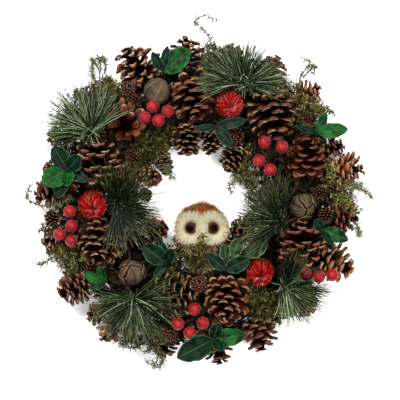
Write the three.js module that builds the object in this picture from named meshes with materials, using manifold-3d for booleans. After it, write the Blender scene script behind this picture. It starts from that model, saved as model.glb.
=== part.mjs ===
// A pinecone wreath, lying on its back. Millimetres, +Z up, the wreath's front faces +Z and its top is at +Y.
// Everything is set out from the middle of the ring, and the whole is then moved so that its box is centred.
import * as THREE from "three";
import Module from "manifold-3d";

const wasm = await Module();
wasm.setup();

// Driving dimensions.
const RING_INNER = 84;
const RING_OUTER = 138;
const RING_HEIGHT = 20;
const RING_CHAMFER = 5;
const RING_STEPS = 24;
const GAP = 0.3;
const CLEAR = 0.6;
const SEAT = RING_HEIGHT + GAP;
const SEAT_INNER = 90;
const SEAT_OUTER = 132;
const BERRY_RADIUS = 7;
const LEAF_THICKNESS = 0.9;
const LEAF_STALK = 3;
const LEAF_STEP = 1.6;
const STEM_RADIUS = 1;
const NEEDLE_LENGTH = 54;
const WIRE_RADIUS = 1.2;
const STALK_RADIUS = 1.8;
const THIN_STALK = 1.6;
const POD_STALK = 2.2;
const OWL_STALK = 4;
const BERRY_WIRE = 0.9;
const BERRY_HUB_DEPTH = 14;
const BRISTLE = 3;
const TUFT = 2.5;
const HUSK = 1.5;
const SHORTEST_SCALE = 0.2;
const STEEPEST_LEAF = 60;
const STEEPEST_NEEDLE = 44;
const RISE_STEP = 4;
const TWIG_RADIUS = 3.4;
const TWIG_HEIGHT = 16;
const ROUND = 2 * Math.PI;

// Pine cones: middle of each in plan, radius, heading of the tip in degrees, and lean from upright.
// A foot is given where the stalk doesn't meet the ring right under the cone's heel.
// Cones that are wired to each other share a node.
const CONES = [
  { node: "cone_top_left", x: -70, y: 152, radius: 26, heading: 125, lean: 68, colour: "brown" },
  { node: "cone_top", x: -16, y: 166, foot: [-32, 126], radius: 21, heading: 90, lean: 74, colour: "brown" },
  { node: "cones_top_inner", x: -9, y: 116, radius: 29, heading: 280, lean: 72, colour: "dark" },
  { node: "cones_top_inner", x: -13, y: 71, radius: 20, heading: 265, lean: 62, colour: "dark" },
  { node: "cones_top_inner", x: 10, y: 68, radius: 15, heading: 280, lean: 66, colour: "dark" },
  { node: "cones_inner_upper_right", x: 38, y: 50, radius: 18, heading: 228, lean: 62, colour: "dark" },
  { node: "cone_upper_right", x: 80, y: 97, radius: 30, heading: 280, lean: 74, colour: "dark" },
  { node: "cone_top_behind_needles", x: 35, y: 163, radius: 17, heading: 95, lean: 76, colour: "brown" },
  { node: "cone_outer_top_right", x: 79, y: 147, radius: 19, heading: 62, lean: 74, colour: "brown" },
  { node: "cone_small_orange", x: 121, y: 124, radius: 15, heading: 20, lean: 76, colour: "orange" },
  { node: "cones_right", x: 119, y: 54, radius: 24, heading: 100, lean: 55, colour: "red" },
  { node: "cones_right", x: 146, y: 61, radius: 16, heading: 20, lean: 72, colour: "brown" },
  { node: "cones_right", x: 162, y: 38, radius: 20, heading: 0, lean: 78, colour: "orange" },
  { node: "cones_outer_right", x: 158, y: -16, radius: 18, heading: 355, lean: 74, colour: "red" },
  { node: "cone_lower_right", x: 112, y: -40, radius: 28, heading: 92, lean: 70, colour: "red" },
  { node: "cone_outer_lower_right", x: 150, y: -66, radius: 22, heading: 335, lean: 74, colour: "orange" },
  { node: "cone_inner_right", x: 46, y: -27, radius: 15, heading: 175, lean: 62, colour: "dark" },
  { node: "cone_under_needles", x: 113, y: -108, radius: 20, heading: 320, lean: 74, colour: "brown" },
  { node: "cone_bottom_right", x: 66, y: -144, radius: 21, heading: 280, lean: 74, colour: "brown" },
  { node: "cone_bottom_big", x: 29, y: -106, radius: 28, heading: 262, lean: 48, colour: "red" },
  { node: "cones_bottom", x: 20, y: -161, radius: 18, heading: 275, lean: 76, colour: "brown" },
  { node: "cones_bottom_inner", x: -26, y: -99, radius: 27, heading: 5, lean: 70, colour: "dark" },
  { node: "cones_bottom_left", x: -39, y: -155, radius: 16, heading: 262, lean: 76, colour: "dark" },
  { node: "cones_outer_lower_left", x: -98, y: -139, radius: 18, heading: 240, lean: 74, colour: "orange" },
  { node: "cones_outer_lower_left", x: -113, y: -122, radius: 15, heading: 200, lean: 70, colour: "brown" },
  { node: "cone_left_end", x: -140, y: -94, radius: 20, heading: 205, lean: 66, colour: "brown" },
  { node: "cone_left_big", x: -110, y: -44, radius: 27, heading: 265, lean: 55, colour: "dark" },
  { node: "cones_outer_left", x: -161, y: -40, radius: 17, heading: 185, lean: 74, colour: "brown" },
  { node: "cones_left_flower", x: -163, y: 14, radius: 22, heading: 200, lean: 64, colour: "red" },
  { node: "cones_left_flower", x: -163, y: 38, radius: 13, heading: 150, lean: 72, colour: "brown" },
  { node: "cones_upper_left", x: -113, y: 48, radius: 28, heading: 92, lean: 70, colour: "dark" },
  { node: "cones_upper_left", x: -113, y: 22, radius: 14, heading: 190, lean: 45, colour: "dark" },
  { node: "cone_outer_left_needles", x: -154, y: 74, radius: 16, heading: 162, lean: 76, colour: "brown" },
  { node: "cone_outer_upper_left", x: -126, y: 118, radius: 16, heading: 150, lean: 76, colour: "red" },
  { node: "cones_flower", x: -79, y: 90, radius: 26, heading: 250, lean: 20, colour: "red" },
  { node: "cones_inner_left", x: -41, y: 42, radius: 12, heading: 290, lean: 60, colour: "dark" },
  { node: "cones_inner_left", x: -53, y: 31, radius: 13, heading: 330, lean: 45, colour: "brown" },
  { node: "cone_inner_lower_left", x: -49, y: -29, radius: 15, heading: 20, lean: 60, colour: "red" },
];

// Small woody cones, each on a twig of the node that it is joined to.
const SMALL_CONES = [
  { node: "cones_flower", x: -79, y: 127, z: 46, radius: 9, heading: 60, lean: 15 },
  { node: "cones_flower", x: -71, y: 114, z: 50, radius: 7, heading: 100, lean: 70 },
  { node: "cones_inner_upper_right", x: 38, y: 75, z: 44, radius: 10, heading: 200, lean: 20 },
  { node: "cones_outer_left", x: -163, y: -15, z: 44, radius: 9, heading: 90, lean: 60 },
  { node: "cones_bottom_inner", x: -2, y: -88, z: 52, radius: 10, heading: 60, lean: 20 },
  { node: "cones_bottom", x: 2, y: -145, z: 50, radius: 8, heading: 40, lean: 15 },
  { node: "cones_bottom_left", x: -33, y: -147, z: 46, radius: 9, heading: 180, lean: 15 },
  { node: "cones_outer_right", x: 138, y: -13, z: 48, radius: 9, heading: 292, lean: 75 },
  { node: "cones_outer_right", x: 132, y: 13, z: 46, radius: 8, heading: 90, lean: 75 },
];

// Frosted berries, a bunch to a node, with the foot of its wires on the ring.
const BERRY_BUNCHES = [
  { node: "berries_upper_left", foot: [-48, 98], at: [[-51, 106], [-35, 101], [-60, 94], [-45, 91]], z: 66 },
  { node: "berries_upper_right", foot: [74, 52], at: [[70, 67], [89, 62], [64, 47], [76, 37]], z: 70 },
  { node: "berries_left", foot: [-124, -23], at: [[-142, -8], [-140, -24], [-153, -33], [-140, -40]], z: 62 },
  { node: "berries_bottom", foot: [-8, -126], at: [[-6, -114], [-24, -130], [3, -129], [-11, -140]], z: 68 },
  { node: "berries_right", foot: [128, -70], at: [[114, -75], [129, -79], [144, -77]], z: 66 },
];

// Bristly red balls, on wires.
const BALLS = [
  { node: "red_ball_top", x: 32, y: 109, radius: 15, z: 62 },
  { node: "red_ball_left", x: -117, y: -1, radius: 15.5, z: 62 },
  { node: "red_ball_right", x: 65, y: -74, radius: 15, z: 62 },
];

// Dry seed pods. The flaps are the split husk, by the bearing that each stands at.
const PODS = [
  { node: "pod_top", x: -47, y: 123, radius: 16, z: 56, flaps: [] },
  { node: "pod_lower_left", x: -74, y: -75, radius: 15, z: 56, flaps: [130, 215, 5] },
  { node: "pod_right", x: 112, y: -2, radius: 15, z: 54, flaps: [25, 280] },
];

// Leaf clusters: the hub, and each leaf by bearing, length, width and rise in degrees.
// A foot is given where the stalk doesn't meet the ring right under the hub. A leaf's stem is how far its
// blade stands off the hub on a bare stem.
const LEAF_CLUSTERS = [
  { node: "leaves_top", hub: [-41, 144], z: 68, leaves: [
    { bearing: 118, length: 24, width: 11, rise: 25 },
    { bearing: 78, length: 28, width: 10, rise: 15 },
    { bearing: 38, length: 38, width: 25, rise: 12 },
    { bearing: 168, length: 28, width: 7, rise: 20 },
    { bearing: 190, length: 26, width: 9, rise: 10 },
  ] },
  { node: "leaves_left", hub: [-143, 37], z: 68, leaves: [
    { bearing: 122, length: 30, width: 22, rise: 18 },
    { bearing: 62, length: 24, width: 18, rise: 28 },
    { bearing: 206, length: 32, width: 24, rise: 14 },
    { bearing: 268, length: 24, width: 15, rise: 30 },
    { bearing: 330, length: 26, width: 12, rise: 22 },
    { bearing: 246, length: 34, width: 16, rise: 8 },
  ] },
  { node: "leaves_lower_left", hub: [-104, -86], z: 66, leaves: [
    { bearing: 152, length: 26, width: 11, rise: 22 },
    { bearing: 105, length: 24, width: 10, rise: 35 },
    { bearing: 200, length: 18, width: 9, rise: 18 },
  ] },
  { node: "leaves_inner_left", hub: [-37, -64], z: 64, leaves: [
    { bearing: 142, length: 32, width: 22, rise: 20 },
    { bearing: 110, length: 30, width: 14, rise: 10 },
    { bearing: 66, length: 24, width: 14, rise: 16 },
    { bearing: 165, length: 34, width: 14, rise: 32 },
    { bearing: 232, length: 22, width: 9, rise: 20 },
  ] },
  { node: "leaves_under_top_ball", hub: [17, 84], z: 66, leaves: [
    { bearing: 12, length: 34, width: 12, rise: 12 },
    { bearing: 186, length: 24, width: 8, rise: 14 },
    { bearing: 310, length: 28, width: 13, rise: 18 },
  ] },
  { node: "leaves_outer_right", hub: [127, 78], z: 64, leaves: [
    { bearing: 6, length: 34, width: 17, rise: 10 },
    { bearing: 164, length: 25, width: 8, rise: 22 },
    { bearing: 50, length: 24, width: 11, rise: 18 },
  ] },
  { node: "leaves_right", hub: [133, -28], z: 66, leaves: [
    { bearing: 128, length: 15, width: 13, rise: 30 },
    { bearing: 338, length: 30, width: 16, rise: 12 },
    { bearing: 300, length: 26, width: 8, rise: 16 },
  ] },
  { node: "leaves_lower_right", hub: [28, -72], foot: [46, -78], z: 64, leaves: [
    { bearing: 138, length: 27, width: 14, rise: 14 },
    { bearing: 26, length: 30, width: 18, rise: 18 },
    { bearing: 66, length: 22, width: 16, rise: 14, stem: 17 },
    { bearing: 92, length: 18, width: 12, rise: 22, stem: 12 },
    { bearing: 36, length: 30, width: 20, rise: 8, stem: 26 },
  ] },
  { node: "leaves_bottom", hub: [14, -147], z: 68, leaves: [
    { bearing: 206, length: 44, width: 27, rise: 6 },
    { bearing: 70, length: 20, width: 15, rise: 24 },
    { bearing: 8, length: 36, width: 20, rise: 14 },
    { bearing: 332, length: 22, width: 12, rise: 14 },
    { bearing: 34, length: 42, width: 9, rise: 30 },
  ] },
];

// Needle sprays: the hub, the bearings that the fan spans, and its reach as a share of the needle length.
const SPRAYS = [
  { node: "needles_upper_left", hub: [-119, 79], z: 68, from: 48, to: 198, reach: 0.98 },
  { node: "needles_top", hub: [47, 131], z: 68, from: -22, to: 196, reach: 0.88 },
  { node: "needles_left", hub: [-90, -3], z: 68, from: -92, to: 108, reach: 0.82 },
  { node: "needles_right", hub: [87, -21], z: 68, from: 80, to: 214, reach: 0.86 },
  { node: "needles_lower_left", hub: [-72, -103], z: 68, from: 158, to: 368, reach: 0.92 },
  { node: "needles_lower_right", hub: [92, -90], z: 68, from: -82, to: 68, reach: 0.86 },
];

// Sprigs of dried moss: a curve of points by hand, the first on the ring.
const SPRIGS = [
  { node: "moss_sprig_top", path: [
    [8, 129, 20], [8, 140, 44], [6, 160, 56], [12, 178, 58],
    [2, 192, 56], [-5, 200, 54], [6, 206, 54], [22, 200, 52],
  ] },
  { node: "moss_sprig_left", path: [
    [-129, -14, 20], [-138, 6, 44], [-160, -2, 58], [-180, 0, 52], [-190, 8, 46], [-188, 20, 44],
  ] },
];

// A direction that no sprig runs along, which keeps its stem from twisting.
const SPRIG_UP = new THREE.Vector3(0.3, -0.2, 0.93);

// The owl ornament: head, body and face, which looks along +Z.
const OWL = { x: 2, y: -26, z: 40, head: 30, body: 22, neck: 29, disc: 19, eye: 6.5 };

const COLOURS = {
  ring: 0x4a3a28, dark: 0x3a2114, brown: 0x5b3820, red: 0x6d2e1a, orange: 0x9a5a2c, berry: 0xb3121f,
  ball: 0xc4141a, pod: 0x6f6250, leaf: 0x1f5a33, needle: 0x35523a, moss: 0x6b7433, owl: 0xc9a36c,
};

// Draws between 0 and 1, the same at every build.
function seeded(seed) {
  let state = seed >>> 0;
  return () => {
    state = (state + 0x6d2b79f5) >>> 0;
    let mixed = Math.imul(state ^ (state >>> 15), state | 1);
    mixed ^= mixed + Math.imul(mixed ^ (mixed >>> 7), mixed | 61);
    return ((mixed ^ (mixed >>> 14)) >>> 0) / 4294967296;
  };
}

const point = (x, y, z) => new THREE.Vector3(x, y, z);
const radians = (degrees) => THREE.MathUtils.degToRad(degrees);
const along = (from, direction, distance) => from.clone().addScaledVector(direction, distance);
const between = (a, b, share) => a.clone().lerp(b, share);

// A direction by its bearing from +X and its rise from level, in degrees.
function direction(bearing, rise) {
  const flat = Math.cos(radians(rise));
  return point(flat * Math.cos(radians(bearing)), flat * Math.sin(radians(bearing)), Math.sin(radians(rise)));
}

// Two directions square to a given one, the first of them level.
function crosswise(axis) {
  const level = Math.abs(axis.z) > 0.95 ? point(1, 0, 0) : point(-axis.y, axis.x, 0);
  const side = level.addScaledVector(axis, -level.dot(axis)).normalize();
  return [side, axis.clone().cross(side)];
}

// The first direction, turned towards the second by an angle.
function turned(side, up, angle) {
  return side.clone().multiplyScalar(Math.cos(angle)).addScaledVector(up, Math.sin(angle));
}

// A solid from a closed list of triangles, turned inside out if it was wound the wrong way.
function solidFrom(corners, faces) {
  let volume = 0;
  for (const [a, b, c] of faces) {
    volume += corners[a].dot(corners[b].clone().cross(corners[c]));
  }
  const vertProperties = new Float32Array(corners.flatMap((corner) => [corner.x, corner.y, corner.z]));
  const wound = volume < 0 ? faces.map(([a, b, c]) => [a, c, b]) : faces;
  const mesh = new wasm.Mesh({ numProp: 3, vertProperties, triVerts: new Uint32Array(wound.flat()) });
  return new wasm.Manifold(mesh);
}

// Rings of points joined into a tube, closed at both ends by a fan.
function skin(rings) {
  const sides = rings[0].length;
  const corners = rings.flat();
  const faces = [];
  for (let ring = 0; ring + 1 < rings.length; ring += 1) {
    for (let side = 0; side < sides; side += 1) {
      const next = (side + 1) % sides;
      const [a, b] = [ring * sides + side, ring * sides + next];
      faces.push([a, b, b + sides], [a, b + sides, a + sides]);
    }
  }
  const last = (rings.length - 1) * sides;
  for (let side = 1; side + 1 < sides; side += 1) {
    faces.push([0, side + 1, side], [last, last + side, last + side + 1]);
  }
  return solidFrom(corners, faces);
}

// Points evenly round a circle that is square to an axis.
function ringOf(centre, axis, radius, sides, [side, up] = crosswise(axis)) {
  return Array.from({ length: sides }, (_, step) => {
    const angle = (step / sides) * ROUND;
    return along(along(centre, side, radius * Math.cos(angle)), up, radius * Math.sin(angle));
  });
}

// A bar between two points, with its ends square to its run.
function bar(from, to, radius, sides) {
  const axis = to.clone().sub(from).normalize();
  return skin([ringOf(from, axis, radius, sides), ringOf(to, axis, radius, sides)]);
}

// A stalk with level ends, which stands flat on the ring.
function stalk(footAt, headAt, radius) {
  const sides = 4;
  const foot = Array.from({ length: sides }, (_, step) => {
    const angle = (step / sides) * ROUND;
    return point(footAt.x + radius * Math.cos(angle), footAt.y + radius * Math.sin(angle), footAt.z);
  });
  const head = foot.map((corner) => corner.clone().add(headAt).sub(footAt));
  return skin([foot, head]);
}

// The surface of a ball, in stacks whose corners stand between each other.
function ballOf(centre, radius, around, stacks) {
  const corners = [along(centre, point(0, 0, 1), -radius)];
  const faces = [];
  for (let stack = 1; stack < stacks; stack += 1) {
    const slope = (stack / stacks) * Math.PI;
    for (let step = 0; step < around; step += 1) {
      const angle = ((step + (stack % 2) / 2) / around) * ROUND;
      const flat = radius * Math.sin(slope);
      const place = point(flat * Math.cos(angle), flat * Math.sin(angle), -radius * Math.cos(slope));
      corners.push(place.add(centre));
    }
  }
  const top = corners.push(along(centre, point(0, 0, 1), radius)) - 1;
  for (let step = 0; step < around; step += 1) {
    const next = (step + 1) % around;
    faces.push([0, 1 + next, 1 + step]);
    for (let stack = 1; stack + 1 < stacks; stack += 1) {
      const [low, high] = [1 + (stack - 1) * around, 1 + stack * around];
      if (stack % 2) {
        faces.push([low + step, low + next, high + step], [low + next, high + next, high + step]);
      } else {
        faces.push([low + step, low + next, high + next], [low + step, high + next, high + step]);
      }
    }
    const rim = 1 + (stacks - 2) * around;
    faces.push([rim + step, rim + next, top]);
  }
  return { corners, faces };
}

function ballSolid(centre, radius, around, stacks) {
  const { corners, faces } = ballOf(centre, radius, around, stacks);
  return solidFrom(corners, faces);
}

// Every face of a closed surface is raised into a low spike.
function spiked(surface, centre, height, random, bare = () => false) {
  const corners = [...surface.corners];
  const faces = [];
  for (const [a, b, c] of surface.faces) {
    const middle = corners[a].clone().add(corners[b]).add(corners[c]).divideScalar(3);
    if (bare(middle)) {
      faces.push([a, b, c]);
      continue;
    }
    const out = middle.clone().sub(centre).normalize();
    const tip = corners.push(along(middle, out, height * (0.8 + 0.4 * random()))) - 1;
    faces.push([a, b, tip], [b, c, tip], [c, a, tip]);
  }
  return solidFrom(corners, faces);
}

// What each piece has to keep clear of: the ring, solid balls, bars and the planes between neighbours.
const keptBalls = [];
const keptBars = [];

// A place is clear of the ring above it, outside it or inside it.
function clearOfRing(place) {
  const reach = Math.hypot(place.x, place.y);
  return place.z >= SEAT - 0.01 || reach >= RING_OUTER + CLEAR || reach <= RING_INNER - CLEAR - 0.5;
}

function distanceToBar(place, kept) {
  const span = kept.to.clone().sub(kept.from);
  const share = THREE.MathUtils.clamp(place.clone().sub(kept.from).dot(span) / span.lengthSq(), 0, 1);
  return place.distanceTo(along(kept.from, span, share));
}

function clearOfAll(places, node, planes) {
  const middle = places.reduce((sum, place) => sum.add(place), point(0, 0, 0)).divideScalar(places.length);
  return places.every((place) => place.z >= CLEAR && clearOfRing(place)
      && planes.every((plane) => place.clone().sub(plane.at).dot(plane.out) <= -GAP / 2))
    && keptBalls.every((kept) => {
      if (kept.node === node) {
        return true;
      }
      const out = middle.clone().sub(kept.at).normalize();
      return places.every((place) => place.clone().sub(kept.at).dot(out) >= kept.radius + CLEAR
        || place.distanceTo(kept.at) > kept.radius * 2 + CLEAR);
    })
    && keptBars.every((kept) => kept.node === node
      || places.every((place) => distanceToBar(place, kept) >= kept.radius + CLEAR));
}

// The spot on the ring's flat top that is nearest to a place in plan.
const seatUnder = (x, y) => {
  const reach = Math.hypot(x, y) || 1;
  const seat = THREE.MathUtils.clamp(reach, SEAT_INNER, SEAT_OUTER);
  return point((x * seat) / reach, (y * seat) / reach, SEAT);
};

// The frame of a cone: its middle, its axis from stalk to tip, and how its scales are dealt out.
function coneFrame(cone) {
  const axis = direction(cone.heading, 90 - cone.lean);
  const reach = Math.hypot(cone.x, cone.y);
  const onRing = reach > RING_INNER && reach < RING_OUTER;
  const length = cone.radius * 1.9;
  const lift = onRing ? 0.86 * cone.radius : 0.42 * cone.radius + 4;
  const at = point(cone.x, cone.y, SEAT + lift);
  const size = { around: cone.radius > 15 ? 5 : 4, rows: cone.radius > 26 ? 5 : 3 };
  return { ...cone, ...size, axis, at, length };
}

const frames = CONES.map(coneFrame);

// The plane half way between two cones, nearer to the smaller one.
function planesRound(frame) {
  return frames.filter((other) => other !== frame).map((other) => {
    const out = other.at.clone().sub(frame.at);
    const apart = out.length();
    const share = (apart ** 2 + frame.radius ** 2 - other.radius ** 2) / (2 * apart);
    out.normalize();
    return { at: along(frame.at, out, share), out, apart };
  }).filter((plane) => plane.apart < frame.radius * 4.5);
}

// A cone is a spindle laid out in lozenges, in rows that stand between each other.
// Each lozenge grows a scale that widens to a thick rhombic end, as long as it has room.
function coneSolid(frame, random) {
  const { around, rows, axis, at, length, radius } = frame;
  const planes = planesRound(frame);
  const [side, up] = crosswise(axis);
  const corners = [];
  const faces = [];
  const round = (step, ring) => ((step + (ring % 2) / 2) / around) * ROUND;
  const outward = (angle) => turned(side, up, angle);
  const coreAt = (ring) => length * (0.8 * (ring / (rows + 1)) - 0.44);
  const coreRadius = (ring) => radius * (0.1 + 0.24 * Math.sin(Math.PI * (0.2 + 0.7 * (ring / (rows + 1)))));
  for (let ring = 0; ring <= rows + 1; ring += 1) {
    for (let step = 0; step < around; step += 1) {
      corners.push(along(along(at, axis, coreAt(ring)), outward(round(step, ring)), coreRadius(ring)));
    }
  }
  const corner = (ring, step) => ring * around + ((step % around) + around) % around;
  const shift = (ring) => (ring % 2 ? 1 : 0);
  const bottom = corners.push(along(at, axis, coreAt(0) - radius * 0.08)) - 1;
  const top = corners.push(along(at, axis, coreAt(rows + 1) + radius * 0.16)) - 1;
  for (let step = 0; step < around; step += 1) {
    faces.push([corner(0, step + 1), corner(0, step), bottom]);
    faces.push([corner(0, step), corner(0, step + 1), corner(1, step)]);
    const last = rows + 1;
    faces.push([corner(last, step), corner(last, step + 1), top]);
    faces.push([corner(last, step + 1), corner(last, step), corner(rows, step + shift(last))]);
  }
  for (let ring = 1; ring <= rows; ring += 1) {
    for (let step = 0; step < around; step += 1) {
      const lozenge = [
        corner(ring, step), corner(ring - 1, step + shift(ring)),
        corner(ring, step + 1), corner(ring + 1, step + shift(ring)),
      ];
      const share = (ring - 1) / (rows - 1);
      const angle = (round(step, ring) + round(step + 1, ring)) / 2;
      const reach = radius * Math.sin(Math.PI * (0.32 + 0.55 * share)) * (0.94 + 0.1 * random());
      const tipAt = length * (0.92 * share ** 0.9 - 0.42);
      const tip = along(along(at, axis, tipAt), outward(angle), reach);
      const wide = Math.min(radius * 0.34, (0.8 * Math.PI * reach) / around);
      growScale(corners, faces, lozenge, tip, outward(angle + Math.PI / 2), wide, frame, planes);
    }
  }
  return solidFrom(corners, faces);
}

// The scale of one lozenge: as long as what is round it allows, and none if it would be a stub.
function growScale(corners, faces, lozenge, tip, across, wide, frame, planes) {
  const [left, low, right, high] = lozenge;
  const root = between(corners[left], corners[right], 0.5);
  for (let share = 1; share > SHORTEST_SCALE; share -= 0.12) {
    const end = between(root, tip, share);
    const run = end.clone().sub(root).normalize();
    const thick = run.clone().cross(across).normalize();
    const middle = between(root, end, 0.82);
    const half = wide * (0.45 + 0.55 * share);
    const deep = Math.max(frame.radius * 0.062, 0.9);
    const rim = [
      along(middle, across, -half), along(middle, thick, deep),
      along(middle, across, half), along(middle, thick, -deep),
    ];
    if (rim[1].distanceTo(corners[low]) > rim[3].distanceTo(corners[low])) {
      [rim[1], rim[3]] = [rim[3], rim[1]];
    }
    if (rim[0].distanceTo(corners[left]) > rim[2].distanceTo(corners[left])) {
      [rim[0], rim[2]] = [rim[2], rim[0]];
    }
    const halfway = rim.map((place, step) => between(place, corners[lozenge[step]], 0.5));
    const nearEnd = rim.map((place, step) => between(place, corners[lozenge[step]], 0.25));
    const nose = rim.map((place) => between(place, end, 0.5));
    if (clearOfAll([...rim, end, middle, ...halfway, ...nearEnd, ...nose], frame.node, planes)) {
      const first = corners.push(...rim, end) - 5;
      for (let step = 0; step < 4; step += 1) {
        const next = (step + 1) % 4;
        faces.push([lozenge[step], lozenge[next], first + step]);
        faces.push([lozenge[next], first + next, first + step]);
        faces.push([first + step, first + next, first + 4]);
      }
      return;
    }
  }
  faces.push([left, low, right], [left, right, high]);
}

// A small woody cone: the same lozenges, each raised into one low point.
function smallConeSolid(cone, at, axis) {
  const around = 5;
  const rows = 4;
  const length = cone.radius * 2.2;
  const [side, up] = crosswise(axis);
  const corners = [];
  const faces = [];
  for (let ring = 0; ring <= rows; ring += 1) {
    const share = ring / rows;
    const reach = cone.radius * (0.3 + 0.55 * Math.sin(Math.PI * (0.12 + 0.76 * share)));
    for (let step = 0; step < around; step += 1) {
      const angle = ((step + (ring % 2) / 2) / around) * ROUND;
      corners.push(along(along(at, axis, length * (0.9 * share - 0.45)), turned(side, up, angle), reach));
    }
  }
  const corner = (ring, step) => ring * around + (step % around);
  const bottom = corners.push(along(at, axis, -length * 0.5)) - 1;
  const top = corners.push(along(at, axis, length * 0.5)) - 1;
  const middle = (places) => places.reduce((sum, place) => sum.add(corners[place]), point(0, 0, 0))
    .divideScalar(places.length);
  for (let step = 0; step < around; step += 1) {
    faces.push([corner(0, step + 1), corner(0, step), bottom]);
    faces.push([corner(0, step), corner(0, step + 1), corner(1, step)]);
    faces.push([corner(rows, step), corner(rows, step + 1), top]);
    faces.push([corner(rows, step + 1), corner(rows, step), corner(rows - 1, step + (rows % 2 ? 1 : 0))]);
    for (let ring = 1; ring < rows; ring += 1) {
      const over = step + (ring % 2);
      const lozenge = [
        corner(ring, step), corner(ring - 1, over), corner(ring, step + 1), corner(ring + 1, over),
      ];
      const base = middle(lozenge);
      const level = base.clone().sub(at);
      const out = level.addScaledVector(axis, -level.dot(axis)).normalize();
      out.addScaledVector(axis, 0.7).normalize();
      const tip = corners.push(along(base, out, cone.radius * 0.34)) - 1;
      for (let edge = 0; edge < 4; edge += 1) {
        faces.push([lozenge[edge], lozenge[(edge + 1) % 4], tip]);
      }
    }
  }
  return solidFrom(corners, faces);
}

// Every finished node, by name, with the colour that its mesh takes.
const made = new Map();

function finish(node, solid, colour) {
  const box = solid.boundingBox();
  made.set(node, { solid, colour, box });
}

const boxesMeet = (a, b) => [0, 1, 2].every((k) => a.min[k] <= b.max[k] + GAP && b.min[k] <= a.max[k] + GAP);

function meetsAny(solid) {
  const box = solid.boundingBox();
  const near = [...made.values()].filter((other) => boxesMeet(box, other.box));
  return near.some((other) => !solid.intersect(other.solid).isEmpty());
}

// The largest body of a solid, so that no loose scrap is left beside it.
function largest(solid) {
  return solid.decompose().sort((a, b) => b.volume() - a.volume())[0];
}

// The ring: a six-sided section carried round in straight lengths.
function makeRing() {
  const waist = RING_HEIGHT / 2;
  const profile = [
    [RING_INNER + RING_CHAMFER, 0], [RING_OUTER - RING_CHAMFER, 0], [RING_OUTER, waist],
    [RING_OUTER - RING_CHAMFER, RING_HEIGHT], [RING_INNER + RING_CHAMFER, RING_HEIGHT], [RING_INNER, waist],
  ];
  const corners = [];
  const faces = [];
  for (let step = 0; step < RING_STEPS; step += 1) {
    const angle = (step / RING_STEPS) * ROUND;
    corners.push(...profile.map(([reach, z]) => point(reach * Math.cos(angle), reach * Math.sin(angle), z)));
  }
  const sides = profile.length;
  for (let step = 0; step < RING_STEPS; step += 1) {
    const next = (step + 1) % RING_STEPS;
    for (let edge = 0; edge < sides; edge += 1) {
      const after = (edge + 1) % sides;
      const [a, b] = [step * sides + edge, step * sides + after];
      const [c, d] = [next * sides + after, next * sides + edge];
      faces.push([a, b, c], [a, c, d]);
    }
  }
  finish("base_ring", solidFrom(corners, faces), "ring");
}

// The room that each berry, ball, pod, leaf hub, spray, sprig and the owl takes, with its stalk, kept for it.
function keepRoom() {
  for (const bunch of BERRY_BUNCHES) {
    const hub = point(...bunch.foot, bunch.z - BERRY_HUB_DEPTH);
    keptBars.push({ node: bunch.node, from: point(...bunch.foot, SEAT), to: hub, radius: 1.5 });
    for (const [x, y] of bunch.at) {
      keptBalls.push({ at: point(x, y, bunch.z), radius: BERRY_RADIUS });
      keptBars.push({ node: bunch.node, from: hub, to: point(x, y, bunch.z), radius: 1 });
    }
  }
  for (const cone of SMALL_CONES) {
    keptBalls.push({ node: cone.node, at: point(cone.x, cone.y, cone.z), radius: cone.radius });
  }
  for (const { node, x, y, z, radius } of [...BALLS, ...PODS]) {
    const at = point(x, y, z);
    keptBalls.push({ at, radius: radius + 1 });
    keptBars.push({ node, from: seatUnder(x, y), to: at, radius: 2.4 });
  }
  for (const { node, hub, foot, z, leaves } of [...LEAF_CLUSTERS, ...SPRAYS]) {
    const from = seatUnder(...(foot ?? hub));
    keptBars.push({ node, from, to: point(...hub, z), radius: leaves ? 2 : 4.5 });
  }
  for (const { node, path } of SPRIGS) {
    const places = path.map((place) => point(...place));
    for (let step = 0; step + 1 < places.length; step += 1) {
      keptBars.push({ node, from: places[step], to: places[step + 1], radius: 1.6 });
    }
  }
  keptBalls.push({ at: point(OWL.x, OWL.y, OWL.z), radius: OWL.head });
  keptBalls.push({ at: point(OWL.x, OWL.y - OWL.neck, OWL.z - 8), radius: OWL.body });
}

// The cones of a node, with their stalks, the wire between their feet and the small cones on their twigs.
function makeCones() {
  const random = seeded(7);
  const nodes = new Map();
  for (const frame of frames) {
    const heel = along(frame.at, frame.axis, -0.4 * frame.length);
    const foot = seatUnder(...(frame.foot ?? [heel.x, heel.y]));
    frame.foot = foot;
    frame.heel = along(frame.at, frame.axis, -0.3 * frame.length);
    keptBars.push({ node: frame.node, from: foot, to: frame.heel, radius: 2 });
    const before = frames[frames.indexOf(frame) - 1];
    if (before?.node === frame.node) {
      frame.wire = [before.foot, foot].map((end) => along(end, point(0, 0, 1), WIRE_RADIUS * 0.8));
      keptBars.push({ from: frame.wire[0], to: frame.wire[1], radius: WIRE_RADIUS });
    }
  }
  for (const frame of frames) {
    const beside = nodes.get(frame.node) ?? [];
    let solid = coneSolid(frame, random).add(stalk(frame.foot, frame.heel, STALK_RADIUS));
    if (frame.wire) {
      solid = solid.add(bar(...frame.wire, WIRE_RADIUS, 4));
    }
    nodes.set(frame.node, [...beside, { frame, solid }]);
  }
  for (const cone of SMALL_CONES) {
    const host = nodes.get(cone.node).map((entry) => entry.frame)
      .sort((a, b) => Math.hypot(a.x - cone.x, a.y - cone.y) - Math.hypot(b.x - cone.x, b.y - cone.y))[0];
    const at = point(cone.x, cone.y, cone.z);
    const axis = direction(cone.heading, 90 - cone.lean);
    const twig = bar(host.at, at, THIN_STALK, 4);
    nodes.get(cone.node).push({ frame: host, solid: smallConeSolid(cone, at, axis).add(twig) });
  }
  for (const [node, entries] of nodes) {
    const solid = entries.map((entry) => entry.solid).reduce((sum, next) => sum.add(next));
    finish(node, largest(solid), entries[0].frame.colour);
  }
}

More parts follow.
